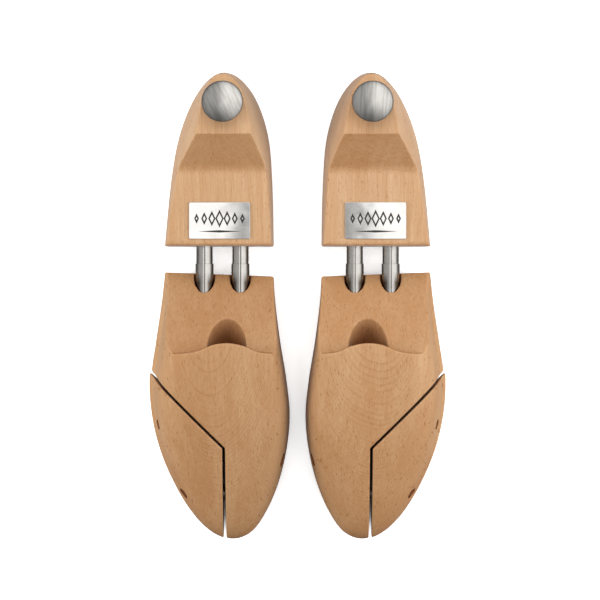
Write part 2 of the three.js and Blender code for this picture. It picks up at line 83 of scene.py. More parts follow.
KNOB = Place("knob")
WASHER = Place("knob_washer")
STUD = Place("knob_stud")
PLATE = Place("heel_plate")
SLEEVES = {side: Place(f"sleeve_{side}") for side in ("inner", "outer")}
TUBES = {side: Place(f"tube_{side}") for side in ("inner", "outer")}
GUIDE_PINS = {end: Place(f"guide_pin_{end}") for end in ("rear", "front")}
FLAP_SPRINGS = {end: Place(f"flap_spring_{end}") for end in ("rear", "front")}
FLAP_SCREW = Place("flap_screw")

# ---------- wooden shapes: driving dimensions ----------

# Outline of the forefoot seen from above, with the toe flap closed: [y, inner side x, outer side x]
FOREFOOT_OUTLINE = [
    [-145.2, -5, -5],
    [-141, -16.2, 7.2],
    [-130, -24.6, 18.6],
    [-111, -33, 30.4],
    [-89, -38.4, 39.6],
    [-67, -40.3, 44.7],
    [-44, -38, 46],
    [-22, -34.4, 43],
    [4, -31.2, 39.2],
    [22, -30.2, 37.3],
]
FOREFOOT_RIDGE = [[-145.2, -5], [-60, -3], [22, -1]]  # x of the highest line, [y, x]
FOREFOOT_TOP = [  # and its height
    [-145.2, 9.5],
    [-141, 17.5],
    [-122, 29.5],
    [-100, 38.5],
    [-78, 45.8],
    [-55, 51.5],
    [-28, 56.3],
    [22, 60],
]
FOREFOOT_WIDEST = [[-145.2, 9.5], [-120, 11], [-88, 13], [22, 14]]  # height of the widest line, [y, z]
FOREFOOT_SOLE = [[-145.2, 9.5], [-141, 5.2], [-122, 2.3], [-100, 0.4], [-88, 0], [22, 0]]
TIP_SECTION = 0.012  # where the first section lies, as a share of the quarter turn from tip to base
FULLNESS_POWER = 3.5  # how late the round toe sections turn into the full ones of the instep
ROUNDING = {"toe": 2.2, "inner": 10, "outer": 8}  # power of the section's upper curve, where 2 is an ellipse
SIDE_LEAN = {"inner": (0.05, 0.03), "outer": (0.12, 0.22)}  # share drawn in towards the top, toe and instep
SOLE_FULLNESS = 1.12
REAR_FACE_Y = 19.6
REAR_FACE_SKEW = math.radians(2.2)
RAMP_REAR_Z = 18
RAMP_SLOPE = 0.68
LIP_LINE = [
    [62, -29],
    [24, -28.6],
    [15, -27],
    [6, -23.4],
    [-3, -22.4],
    [-12, -24],
    [-21, -27.6],
    [-30, -28.6],
    [-62, -29],
]
FINGER = {"x": -2.2, "y": -24.5, "z": 48, "dip": math.radians(22), "from": -30, "to": 13.5}
FINGER_SECTION = {"half_width": 11.75, "floor": 17, "ceiling": 3.2}

SPLIT_X = -0.5
SPLIT_CORNER_Y = -87
SAW_CUT = 0.8
FLAP_SPREAD = 1
FLAP_REACH = 70
PIN_HOLE_RADIUS = 2.9
SPRING_POCKET_RADIUS = 4.6
SCREW_POCKET_RADIUS = 4
SCREW_SHANK_RADIUS = 2
SCREW_HOLE_RADIUS = 2.5
END_ROOM = 2  # between a pin or the screw and the bottom of its hole
MOUTH_RADIUS = 6.3  # of the bores that the sleeves stand in, open for the first stretch
MOUTH_END_Y = -5
SEAT_RADIUS = 5.85
TUBE_BORE_RADIUS = 5.3
LOCK_HOLE_RADIUS = 1.45
LOCK_HOLE_END_Z = 27

HEEL_OUTLINE = [  # at the widest height, [y, inner side x, outer side x]
    [145.2, 0, 0],
    [141, -10, 10],
    [126, -20.6, 20.9],
    [104, -27.2, 29],
    [78, -29.4, 33.6],
    [37.2, -30.4, 37.6],
]
HEEL_WIDEST_Z = 12
HEEL_SOLE_LEAN = (0.1, 3)  # share of the half width lost at the sole, and its power
HEEL_TOP_LEAN = {"inner": 0.365, "outer": 0.42, "power": 1.45}  # and at the knob platform
HEEL_TIP = (0.55, 0.9)  # the sides lean in by this share at the tip, in full past the angle
HEEL_END_LEAN = (0.04, 1.5)  # share of the length lost at the top
HEEL_FRONT = (0.45, 60)  # share of the lean at the front end, and the run after which it is whole
PLATE_PLATFORM_Z = 32
KNOB_PLATFORM_Z = 56
SLOPE_FOOT_Y = 84
SLOPE_HEAD_Y = 104.5
SLOPE_ROUNDING = 0.15
FRONT_EDGE_ROUND = 2.6
PRONG_SPACING = 28

# Fineness of the carved wood
WOOD_VOXEL = 0.5
WOOD_SANDING = 5  # smoothing steps, which round the cut edges as sandpaper does
WOOD_KEEP = 0.4  # share of the faces kept once the shape is smooth
CUTTER_SIDES = 72
LINING_MARGIN = 0.3  # how far from a bore's wall a point still counts as its lining
FINGER_FULL_SHADE_DEPTH = 17  # below the ramp, where the painted shade in the finger hole is darkest
FINGER_RIM_SHADE = 0.35  # share of the painted shade just below the ramp


# ---------- meshes ----------

def curve_through(points):
    """Smooth curve through a few [t, value] points, in t order."""
    t, value = np.array(points, float).T
    before = np.maximum(np.arange(len(t)) - 1, 0)
    after = np.minimum(np.arange(len(t)) + 1, len(t) - 1)
    slopes = (value[after] - value[before]) / (t[after] - t[before])

    def at(where):
        i = np.clip(np.searchsorted(t, where), 1, len(t) - 1)
        width = t[i] - t[i - 1]
        s = (where - t[i - 1]) / width
        rise = s * s * (3 - 2 * s)
        bend = width * s * (1 - s) * (slopes[i - 1] * (1 - s) - slopes[i] * s)
        return value[i - 1] * (1 - rise) + value[i] * rise + bend

    return at


class RoundEnded:
    """A block measured by an angle: 0 at the tip of its round end, a right angle at its flat end."""

    def __init__(self, tip, base):
        self.tip = tip
        self.length = base - tip

    def y_at(self, angle):
        return self.tip + self.length * (1 - np.cos(angle))

    def curve(self, rows, column=1):
        y = np.array([row[0] for row in rows], float)
        angles = np.arccos(np.clip(1 - (y - self.tip) / self.length, 0, 1))
        return curve_through([[a, row[column]] for a, row in zip(angles, rows)])


def skin(rings):
    """A closed skin over a row of rings with equal point counts: (points, faces)."""
    rings = np.asarray(rings, float)
    rows, count = rings.shape[:2]
    points = [tuple(p) for p in rings.reshape(-1, 3)]
    faces = []
    for r in range(rows - 1):
        for i in range(count):
            j = (i + 1) % count
            faces.append((r * count + i, r * count + j, (r + 1) * count + j, (r + 1) * count + i))
    faces.append(tuple(range(count))[::-1])
    faces.append(tuple(range((rows - 1) * count, rows * count)))
    return points, faces


def turned(profile, sides=96):
    """A turned solid about Z. Its [radius, height] profile starts and ends on the axis."""
    points, faces, rows = [], [], []
    for radius, height in profile:
        if radius < 1e-6:
            rows.append([len(points)] * sides)
            points.append((0, 0, height))
            continue
        rows.append(list(range(len(points), len(points) + sides)))
        for i in range(sides):
            turn = 2 * math.pi * i / sides
            points.append((radius * math.cos(turn), radius * math.sin(turn), height))
    for lower, upper in zip(rows, rows[1:]):
        for i in range(sides):
            j = (i + 1) % sides
            face = [lower[i], lower[j], upper[j], upper[i]]
            face = [v for k, v in enumerate(face) if v != face[k - 1]]
            if len(face) > 2:
                faces.append(tuple(face))
    return points, faces


def rod(radius, start, end, chamfer=0.0, sides=96):
    """A round bar about Z with chamfered ends."""
    profile = [[radius, start], [radius, end]]
    if chamfer:
        inner = radius - chamfer
        profile = [[inner, start], [radius, start + chamfer], [radius, end - chamfer], [inner, end]]
    return turned([[0, start], *profile, [0, end]], sides)


def laid(shape, axis, at=(0, 0, 0)):
    """The (points, faces) of a shape about Z, laid along the given axis and moved."""
    points, faces = shape
    turn = {
        "x": lambda x, y, z: (z, x, y),
        "y": lambda x, y, z: (y, z, x),
        "z": lambda x, y, z: (x, y, z),
    }[axis]
    moved = [tuple(a + b for a, b in zip(turn(*p), at)) for p in points]
    return moved, faces


def joined(*shapes):
    """Several (points, faces) as one."""
    points, faces = [], []
    for some_points, some_faces in shapes:
        faces += [tuple(v + len(points) for v in face) for face in some_faces]
        points += some_points
    return points, faces


def prism(outline, start, end, axis="z"):
    """An outline raised along Z, or along X if the outline is given as (y, z)."""
    rings = [[(a, b, level) for a, b in outline] for level in (start, end)]
    points, faces = skin(rings)
    if axis == "x":
        points = [(z, x, y) for x, y, z in points]
    return points, faces


def spline(points, steps=12):
    """Points along a Catmull-Rom curve through the given ones."""
    p = np.array(points, float)
    curve = []
    for i in range(len(p) - 1):
        a, b, c, d = p[max(i - 1, 0)], p[i], p[i + 1], p[min(i + 2, len(p) - 1)]
        for s in np.arange(steps) / steps:
            tangent_b, tangent_c = (c - a) / 2, (d - b) / 2
            curve.append(
                (2 * s**3 - 3 * s**2 + 1) * b + (s**3 - 2 * s**2 + s) * tangent_b
                + (3 * s**2 - 2 * s**3) * c + (s**3 - s**2) * tangent_c
            )
    curve.append(p[-1])
    return [tuple(q) for q in curve]


def new_mesh(name, shape):
    points, faces = shape
    mesh = bpy.data.meshes.new(name)
    mesh.from_pydata(points, [], faces)
    mesh.validate()
    return mesh


def outward(mesh):
    """Turns every face so that the closed mesh's normals point out."""
    faces = mesh.polygons
    reach = (values_of(faces, "center") * values_of(faces, "normal")).sum(1)
    volume = reach @ values_of(faces, "area", per_item=1)
    if volume < 0:
        mesh.flip_normals()
    return mesh


def shape_of(mesh):
    return [tuple(v.co) for v in mesh.vertices], [tuple(p.vertices) for p in mesh.polygons]


def linked(name, mesh):
    obj = bpy.data.objects.new(name, mesh)
    bpy.context.scene.collection.objects.link(obj)
    return obj


def carved(base, cutters, kept=(), finish=()):
    """The base shape less the cutters, or only what lies inside the kept ones, with modifiers after that."""
    work = linked("carving", outward(new_mesh("carving", base)))
    tools = []
    for operation, shapes in (("INTERSECT", kept), ("DIFFERENCE", cutters)):
        for shape in shapes:
            tool = linked("tool", outward(new_mesh("tool", shape)))
            cut = work.modifiers.new("cut", "BOOLEAN")
            cut.operation, cut.solver, cut.object = operation, "MANIFOLD", tool
            tools.append(tool)
    for kind, settings in finish:
        step = work.modifiers.new(kind, kind)
        for key, value in settings.items():
            setattr(step, key, value)
    graph = bpy.context.evaluated_depsgraph_get()
    mesh = bpy.data.meshes.new_from_object(work.evaluated_get(graph))
    for obj in (work, *tools):
        bpy.data.objects.remove(obj)
    return mesh


SANDED = (
    ("REMESH", {"mode": "VOXEL", "voxel_size": WOOD_VOXEL, "use_smooth_shade": True}),
    ("SMOOTH", {"factor": 0.5, "iterations": WOOD_SANDING}),
    ("DECIMATE", {"ratio": WOOD_KEEP}),
)


def values_of(items, name, kind=float, per_item=3):
    """One property of all a mesh's vertices, edges or faces, as an array."""
    values = np.empty(len(items) * per_item, kind)
    items.foreach_get(name, values)
    return values.reshape(-1, per_item) if per_item > 1 else values


def points_of(mesh):
    return values_of(mesh.vertices, "co")


def store(mesh, name, values):
    mesh.attributes.new(name, "FLOAT", "POINT").data.foreach_set("value", values.astype(np.float32))


def mark_edges(mesh, passes=3):
    """Stores how far each point stands out of its surroundings, for the painted highlight and wear along
    edges and the painted shade in hollows.
    """
    points, normals = points_of(mesh), values_of(mesh.vertices, "normal")
    a, b = values_of(mesh.edges, "vertices", np.int64, 2).T
    count = len(points)
    degree = np.maximum(np.bincount(a, minlength=count) + np.bincount(b, minlength=count), 1)

    def averaged(at_a, at_b):
        return (np.bincount(a, at_a, count) + np.bincount(b, at_b, count)) / degree

    def around(values):
        return averaged(values[b], values[a])

    mean = np.stack([around(points[:, k]) for k in range(3)], 1)
    lengths = np.linalg.norm(points[a] - points[b], axis=1)
    reach = np.maximum(averaged(lengths, lengths), 1e-9)
    stands_out = -((mean - points) * normals).sum(1) / reach**2
    for _ in range(passes):
        stands_out = (stands_out + around(stands_out)) / 2
    store(mesh, "convexity", stands_out)


def mark_bore_shade(mesh, bores, depth=None):
    """Stores the share of painted shade: which points line a bore, and how deep others lie in the finger
    hole.
    """
    points = points_of(mesh)
    inside = np.zeros(len(points)) if depth is None else depth
    for axis, radius, start, end, at in bores:
        k = "xyz".index(axis)
        away = points - np.array(at, float)
        along, away[:, k] = points[:, k], 0
        near = np.linalg.norm(away, axis=1) < radius + LINING_MARGIN
        lining = near & (along > start - LINING_MARGIN) & (along < end + LINING_MARGIN)
        inside = np.where(lining, 1.0, inside)
    store(mesh, "inside", inside)


# ---------- wooden shapes ----------

def forefoot_shape(sections=150, around=140):
    """The closed foot shape from toe tip to rear face, before anything is cut from it."""
    along = RoundEnded(FOREFOOT_OUTLINE[0][0], FOREFOOT_OUTLINE[-1][0])
    inner = along.curve(FOREFOOT_OUTLINE, 1)
    outer = along.curve(FOREFOOT_OUTLINE, 2)
    ridge, top, widest, sole = (
        along.curve(rows) for rows in (FOREFOOT_RIDGE, FOREFOOT_TOP, FOREFOOT_WIDEST, FOREFOOT_SOLE)
    )
    share = np.maximum(TIP_SECTION, np.linspace(0, 1, sections))[:, None]
    angle = share * math.pi / 2
    quarter, through = np.divmod(4 * np.arange(around) / around, 1)
    turn = (math.pi / 2 * (quarter + through**2 * (3 - 2 * through)))[None, :]
    c, h = np.cos(turn), np.sin(turn)
    fullness = share**FULLNESS_POWER

    def filled(toe, instep):
        return toe + (instep - toe) * fullness

    on_outer = c > 0
    power = filled(ROUNDING["toe"], np.where(on_outer, ROUNDING["outer"], ROUNDING["inner"]))
    lean = np.where(on_outer, filled(*SIDE_LEAN["outer"]), filled(*SIDE_LEAN["inner"]))
    side = np.where(on_outer, outer(angle) - ridge(angle), ridge(angle) - inner(angle))
    up = np.maximum(h, 0) ** (2 / power)
    down = np.minimum(1, SOLE_FULLNESS * np.sqrt(np.maximum(-h, 0)))
    wide = np.abs(c) ** np.where(h >= 0, 2 / power, 0.5)
    x = ridge(angle) + np.sign(c) * wide * side * (1 - lean * np.sqrt(up))
    level = widest(angle)
    z = level + up * (top(angle) - level) - down * (level - np.maximum(0, sole(angle)))
    y = np.broadcast_to(along.y_at(angle), x.shape)
    return skin(np.stack([x, y, z], 2))


def ramp_cutters():
    """The ramp behind the lip: a plan shape and a side shape. What lies in both is cut away."""
    back, front, high = 60, -90, 100
    line = spline(LIP_LINE[1:])
    plan = [(LIP_LINE[0][0], back), tuple(LIP_LINE[0]), *line, (LIP_LINE[-1][0], back)]
    rear, far = (RAMP_REAR_Z + RAMP_SLOPE * (REAR_FACE_Y - y) for y in (back, front))
    side = [(back, rear), (back, high), (front, high), (front, far)]
    return prism(plan, -10, high), prism(side, -80, 80, "x")


def finger_axis():
    place = Matrix.Translation((FINGER["x"], FINGER["y"], FINGER["z"]))
    return place @ Matrix.Rotation(math.pi / 2 + FINGER["dip"], 4, "X")


def finger_hole(steps=40):
    """Cut along an axis that dips under the lip, with a flattened ceiling."""
    section = []
    for i in range(2 * steps):
        turn = math.pi * i / steps
        height = FINGER_SECTION["ceiling"] if turn < math.pi else FINGER_SECTION["floor"]
        section.append((FINGER_SECTION["half_width"] * math.cos(turn), height * math.sin(turn)))
    tilt = finger_axis()
    rings = [[tuple(tilt @ Vector((x, y, z))) for x, y in section] for z in (FINGER["from"], FINGER["to"])]
    return skin(rings)


def finger_shade_share(mesh):
    """Share of painted shade for each point, by how far it lies inside the finger hole: 0 outside and at its
    rim, 1 at its darkest end.
    """
    points = points_of(mesh)
    back = np.array(finger_axis().inverted())
    own = points @ back[:3, :3].T + back[:3, 3]
    tall = np.where(own[:, 1] > 0, FINGER_SECTION["ceiling"], FINGER_SECTION["floor"])
    reach = np.hypot(own[:, 0] / FINGER_SECTION["half_width"], own[:, 1] / tall)
    inside = (reach < 1.05) & (own[:, 2] > FINGER["from"]) & (own[:, 2] < FINGER["to"] + 0.4)
    below = RAMP_REAR_Z + RAMP_SLOPE * (REAR_FACE_Y - points[:, 1]) - points[:, 2]
    tone = FINGER_RIM_SHADE + (1 - FINGER_RIM_SHADE) * below / FINGER_FULL_SHADE_DEPTH
    return np.where(inside & (below > 0.2), np.clip(tone, 0, 1), 0)


def flap_plan(inset):
    """Plan shape of the toe flap, drawn in from the middle of the saw cut."""
    x = SPLIT_X + inset
    corner_y = SPLIT_CORNER_Y + (x - SPLIT_X) - inset * math.sqrt(2)
    far = -3 * FLAP_REACH
    return [(x, corner_y), (x, far), (FLAP_REACH, far), (FLAP_REACH, corner_y + FLAP_REACH - x)]


def rear_face_cutter():
    """Everything behind the slightly skewed rear face."""
    run, slant = 80, math.tan(REAR_FACE_SKEW) * 80
    back = REAR_FACE_Y + 20
    corners = ((REAR_FACE_Y, -1), (REAR_FACE_Y, 1), (back, 1), (back, -1))
    plan = [(side * run, y + side * slant) for y, side in corners]
    return prism(plan, -100, 100)


def bored(bores):
    """Cutting shapes for bores given as (axis, radius, start, end, a point on the bore's line)."""
    return [laid(rod(*size, sides=CUTTER_SIDES), axis, at) for axis, *size, at in bores]


def lock_bore(x, pin):
    return "z", LOCK_HOLE_RADIUS, -10, LOCK_HOLE_END_Z, (x, Place(pin).middle.y, 0)


def sleeve_bores():
    bores = []
    for side, sleeve in SLEEVES.items():
        x, z = sleeve.middle.x, sleeve.middle.z
        bores.append(("y", MOUTH_RADIUS, MOUTH_END_Y, 40, (x, 0, z)))
        bores.append(("y", SEAT_RADIUS, sleeve.low.y - 1, 0, (x, 0, z)))
        bores.append(lock_bore(x, f"sleeve_pin_{side}"))
    return bores


def block_pin_bores():
    """The bores in the block for the two guide pins, their springs and the screw."""
    bores = []
    for end, pin in GUIDE_PINS.items():
        at = (0, pin.middle.y, pin.middle.z)
        bores.append(("x", PIN_HOLE_RADIUS, pin.low.x - END_ROOM, FLAP_REACH, at))
        bores.append(("x", SPRING_POCKET_RADIUS, FLAP_SPRINGS[end].low.x - 0.2, FLAP_REACH / 2, at))
    at = (0, FLAP_SCREW.middle.y, FLAP_SCREW.middle.z)
    bores.append(("x", SCREW_HOLE_RADIUS, FLAP_SCREW.low.x, FLAP_REACH, at))
    bores.append(("x", SCREW_POCKET_RADIUS, -FLAP_REACH, FLAP_SCREW.low.x + 3, at))
    return bores


def flap_pin_bores():
    """The same in the flap, where only the rear spring has a pocket."""
    bores = []
    for pin in GUIDE_PINS.values():
        bores.append(("x", PIN_HOLE_RADIUS, pin.low.x, FLAP_REACH, (0, pin.middle.y, pin.middle.z)))
    spring = FLAP_SPRINGS["rear"]
    at = (0, spring.middle.y, spring.middle.z)
    bores.append(("x", SPRING_POCKET_RADIUS, -FLAP_REACH, spring.high.x + 0.2, at))
    at = (0, FLAP_SCREW.middle.y, FLAP_SCREW.middle.z)
    bores.append(("x", SCREW_SHANK_RADIUS + 0.2, -FLAP_REACH, FLAP_SCREW.high.x + END_ROOM, at))
    return bores


def heel_bores():
    bores = []
    for side, tube in TUBES.items():
        x, z = tube.middle.x, tube.middle.z
        bores.append(("y", TUBE_BORE_RADIUS, 0, tube.high.y + 0.5, (x, 0, z)))
        bores.append(lock_bore(x, f"tube_pin_{side}"))
    bores.append(("z", STUD.size.x / 2 + 0.3, STUD.low.z - 0.5, 100, (STUD.middle.x, STUD.middle.y, 0)))
    return bores


def forefoot_block():
    plan, side = ramp_cutters()
    scoop = shape_of(carved(plan, [], [side]))
    flap = prism(flap_plan(-SAW_CUT / 2), -10, 100)
    bores = sleeve_bores() + block_pin_bores()
    cutters = [scoop, rear_face_cutter(), finger_hole(), flap, *bored(bores)]
    mesh = carved(forefoot_shape(), cutters, finish=SANDED)
    mark_bore_shade(mesh, bores, finger_shade_share(mesh))
    return mesh


def toe_flap():
    points, faces = forefoot_shape()
    spread = [(x + FLAP_SPREAD, y, z) for x, y, z in points]
    plan = [(x + FLAP_SPREAD, y) for x, y in flap_plan(SAW_CUT / 2)]
    bores = flap_pin_bores()
    mesh = carved((spread, faces), bored(bores), [prism(plan, -10, 100)], SANDED)
    mark_bore_shade(mesh, bores)
    return mesh


def heel_shape(around=160, low_slices=24, high_slices=60):
    """Level slices of the heel block, from its sole up to the knob platform."""
    tip, base = HEEL_OUTLINE[0][0], HEEL_OUTLINE[-1][0]
    along = RoundEnded(tip, base)
    inner = along.curve(HEEL_OUTLINE, 1)
    outer = along.curve(HEEL_OUTLINE, 2)
    step = np.linspace(-1, 1, around)
    angle = np.abs(step) * math.pi / 2
    y = along.y_at(angle)
    plan_x = np.where(step < 0, inner(angle), outer(angle))
    back = np.clip((y - base) / HEEL_FRONT[1], 0, 1)
    back = back * back * (3 - 2 * back)
    tipward = np.clip((HEEL_TIP[1] - angle) / HEEL_TIP[1], 0, 1)
    tipward = tipward * tipward * (3 - 2 * tipward)
    share = (HEEL_FRONT[0] + (1 - HEEL_FRONT[0]) * back) * (1 - (1 - HEEL_TIP[0]) * tipward)
    top_lean = np.where(step < 0, HEEL_TOP_LEAN["inner"], HEEL_TOP_LEAN["outer"])
    rings = []
    for k in range(-low_slices, high_slices + 1):
        above = max(0, k / high_slices)
        below = math.sin(math.pi / 2 * max(0, -k / low_slices))
        z = HEEL_WIDEST_Z * (1 - below) + (KNOB_PLATFORM_Z - HEEL_WIDEST_Z) * above
        lean = HEEL_SOLE_LEAN[0] * below ** HEEL_SOLE_LEAN[1] + top_lean * above ** HEEL_TOP_LEAN["power"]
        end_lean = HEEL_END_LEAN[0] * (above ** HEEL_END_LEAN[1] + below ** HEEL_SOLE_LEAN[1])
        x = plan_x * (1 - lean * share)
        rings.append(np.stack([x, base + (y - base) * (1 - end_lean), np.full_like(x, z)], 1))
    return skin(rings)


def eased_corner(a, corner, b, steps=10):
    """Points of the quadratic curve from a to b that leans on the corner."""
    s = np.linspace(0, 1, steps)[:, None]
    a, corner, b = (np.array(p, float) for p in (a, corner, b))
    return [tuple(p) for p in (1 - s) ** 2 * a + 2 * s * (1 - s) * corner + s**2 * b]


def heel_scoop():
    """Side shape of what is cut away above the two platforms and the slope between them."""
    front = HEEL_OUTLINE[-1][0]
    outside, high, low = front - 10, 100, PLATE_PLATFORM_Z
    run, rise = SLOPE_HEAD_Y - SLOPE_FOOT_Y, KNOB_PLATFORM_Z - low
    ease_run, ease_rise = SLOPE_ROUNDING * run, SLOPE_ROUNDING * rise
    side = [(outside, high), (outside, low - FRONT_EDGE_ROUND)]
    side += eased_corner((front, low - FRONT_EDGE_ROUND), (front, low), (front + FRONT_EDGE_ROUND, low))
    side += eased_corner(
        (SLOPE_FOOT_Y - ease_run, low), (SLOPE_FOOT_Y, low), (SLOPE_FOOT_Y + ease_run, low + ease_rise)
    )
    beyond = SLOPE_HEAD_Y + run
    side += [(SLOPE_HEAD_Y, KNOB_PLATFORM_Z), (beyond, KNOB_PLATFORM_Z + rise), (beyond, high)]
    return prism(side, -80, 80, "x")


def heel_block():
    bores = heel_bores()
    mesh = carved(heel_shape(), [heel_scoop(), *bored(bores)], finish=SANDED)
    mark_bore_shade(mesh, bores)
    return mesh


# ---------- metal shapes ----------

KNOB_NECK = [  # [radius, height]
    [7, 0], [6.4, 1], [6.4, 4.4], [7.8, 6.2], [11.2, 8.6],
    [12.3, 9.8], [12.5, 10.9], [12.35, 11.8], [11.8, 12.4],
]
KNOB_DOME = (11.8, 4.1)  # radius and height of the low dome
TUBE_WALL = 0.5
SLEEVE_WALL = 0.43
SEAM_HALF_GAP = 0.17
TUBE_END_CHAMFER = 0.12


def knob_shape():
    """Mushroom knob: a short neck, a rounded rim and a low dome."""
    height = KNOB.size.z
    edge, rise = KNOB_DOME
    sphere = (edge**2 + rise**2) / (2 * rise)
    profile = [[0, 0.4], [5.6, 0.4], [6.2, 0]]
    profile += [list(p) for p in spline(KNOB_NECK, 8)]
    steps = 40
    for i in range(1, steps + 1):
        a = math.asin(edge / sphere) * (1 - i / steps)
        profile.append([sphere * math.sin(a), height - sphere * (1 - math.cos(a))])
    profile[-1][0] = 0
    return laid(turned(profile, 128), "z", (KNOB.middle.x, KNOB.middle.y, KNOB.low.z))


def washer_shape():
    low, high = WASHER.low.z, WASHER.high.z
    radius, hole = WASHER.size.x / 2, STUD.size.x / 2 + 0.4
    profile = [[0, low], [radius - 0.2, low], [radius, low + 0.2], [radius, high - 0.35]]
    profile += [[radius - 0.35, high], [hole + 0.2, high], [hole, high - 0.1], [0, high - 0.1]]
    return laid(turned(profile, 96), "z", (WASHER.middle.x, WASHER.middle.y, 0))


def seamed_tube(place, wall):
    """Rolled tube along Y with an open seam on top and lightly rounded edges."""
    outer = place.size.x / 2
    inner = outer - wall
    gap = SEAM_HALF_GAP / outer
    steps = 72
    easing = 0.35 * wall
    turns = [math.pi / 2 + gap + 2 * (math.pi - gap) * i / steps for i in range(steps + 1)]
    section = [(turn, outer - (0 if 0 < i < steps else easing)) for i, turn in enumerate(turns)]
    section += [(turn, inner + (0 if 0 < i < steps else easing)) for i, turn in enumerate(turns)][::-1]
    rings = []
    middle = (outer + inner) / 2
    ends = [(place.low.y, 0.5), (place.low.y + TUBE_END_CHAMFER, 0)]
    for y, pinch in [*ends, *((place.low.y + place.high.y - y, pinch) for y, pinch in ends[::-1])]:
        ring = []
        for turn, radius in section:
            r = radius + (middle - radius) * pinch
            ring.append((place.middle.x + r * math.cos(turn), y, place.middle.z + r * math.sin(turn)))
        rings.append(ring)
    return skin(rings)


def coil(radius, wire, turns, length, sides=10, steps=40):
    """Compression spring about Z from z = 0, its end turns lying close."""
    travel, climb, close = length - 2 * wire, 2 * wire, 1 / turns
    rings = []
    for share in np.arange(turns * steps + 1) / (turns * steps):
        turn = 2 * math.pi * turns * share
        z = np.interp(share, [0, close, 1 - close, 1], [0, climb, travel - climb, travel])
        ring = []
        for a in 2 * np.pi * np.arange(sides) / sides:
            r = radius + wire * math.cos(a)
            ring.append((r * math.cos(turn), r * math.sin(turn), wire + z + wire * math.sin(a)))
        rings.append(ring)
    return skin(rings)


def tube_spring_shape(side):
    place = Place(f"tube_spring_{side}")
    wire = 0.6
    at = (place.middle.x, place.low.y, place.middle.z)
    return laid(coil(place.size.x / 2 - wire, wire, 6, place.size.y), "y", at)


def flap_spring_shape(end):
    place = FLAP_SPRINGS[end]
    wire = 0.55
    at = (place.low.x, GUIDE_PINS[end].middle.y, GUIDE_PINS[end].middle.z)
    return laid(coil(place.size.z / 2 - wire, wire, 4, place.size.x), "x", at)


def guide_pin_shape(end):
    pin = GUIDE_PINS[end]
    at = (0, pin.middle.y, pin.middle.z)
    return laid(rod(pin.size.z / 2, pin.low.x, pin.high.x, 0.4, 48), "x", at)


def lock_pin_shape(name):
    pin = Place(name)
    return laid(rod(pin.size.x / 2, pin.low.z, pin.high.z, 0.3, 32), "z", (pin.middle.x, pin.middle.y, 0))


def screw_mesh():
    """Slotted screw with a slightly domed head at the bottom of its pocket."""
    place = FLAP_SCREW
    head, length = place.size.z / 2, place.size.x
    shank, pitch, groove = SCREW_SHANK_RADIUS, 0.8, 0.35
    profile = [[0, 0], [head * 0.5, 0.08], [head - 0.3, 0.35], [head, 0.65], [head, 2.6], [head - 0.2, 2.8]]
    profile += [[shank, 2.8]]
    z = 4.0
    while z < length - 2:
        profile += [[shank, z], [shank - groove, z + pitch / 2]]
        z += pitch
    profile += [[shank - 0.2, length - 0.6], [shank - 0.8, length], [0, length]]
    body = laid(turned(profile, 48), "x", (place.low.x, place.middle.y, place.middle.z))
    y, z = place.middle.y, place.middle.z
    across = [(y - 0.5, z - 8), (y + 0.5, z - 8), (y + 0.5, z + 8), (y - 0.5, z + 8)]
    slot = prism(across, place.low.x - 2, place.low.x + 1.4, "x")
    return carved(body, [slot])


# Engraving on the plate: a row of open lozenges, largest in the middle, over a line
PLATE_CORNER = 1.1
PLATE_BEVEL = 0.22
PLATE_THICKNESS = 1
ENGRAVING_DEPTH = 0.25
LOZENGES = 7
LOZENGE = {"half_width": 2.6, "half_height": 5.6, "stroke": 0.95, "spacing": 4.7, "lesser": 0.14, "y": 1.3}
UNDERLINE = {"half_length": 13.5, "half_width": 0.75, "y": -6.6}


def rounded_outline(width, depth, corner, steps=8):
    points = []
    for quarter, (sx, sy) in enumerate(((1, 1), (-1, 1), (-1, -1), (1, -1))):
        for i in range(steps + 1):
            turn = math.pi / 2 * (quarter + i / steps)
            x = sx * (width / 2 - corner) + corner * math.cos(turn)
            y = sy * (depth / 2 - corner) + corner * math.sin(turn)
            points.append((x, y))
    return points


def framed_outline(inset):
    return rounded_outline(
        PLATE.size.x - 2 * inset, PLATE.size.y - 2 * inset, max(PLATE_CORNER - inset, 0.3)
    )


def ring_prism(outer, inner, start, end):
    """What lies between two outlines with equal point counts."""
    count = len(outer)
    loops = [(outer, start), (outer, end), (inner, end), (inner, start)]
    points = [(x, y, z) for loop, z in loops for x, y in loop]
    faces = []
    for k in range(4):
        for i in range(count):
            j = (i + 1) % count
            a, b = k * count, (k + 1) % 4 * count
            faces.append((a + i, a + j, b + j, b + i))
    return points, faces


def engraving(start, end, shrink=0.0):
    """The lozenges and the line between two heights, one shape each."""
    shapes = []
    middle = (LOZENGES - 1) / 2
    for i in range(LOZENGES):
        x = (i - middle) * LOZENGE["spacing"]
        size = 1 - LOZENGE["lesser"] * abs(i - middle)
        loops = []
        for inset in (shrink, LOZENGE["stroke"] - shrink):
            wide = LOZENGE["half_width"] * size - inset * 1.1
            tall = LOZENGE["half_height"] * size - inset * 2.5
            loops.append([(x + wide, LOZENGE["y"]), (x, LOZENGE["y"] + tall),
                          (x - wide, LOZENGE["y"]), (x, LOZENGE["y"] - tall)])
        shapes.append(ring_prism(*loops, start, end))
    long, wide = UNDERLINE["half_length"] - shrink, UNDERLINE["half_width"] - shrink
    y = UNDERLINE["y"]
    shapes.append(prism([(-long, y), (0, y - wide), (long, y), (0, y + wide)], start, end))
    return [laid(shape, "z", (PLATE.middle.x, PLATE.middle.y, 0)) for shape in shapes]


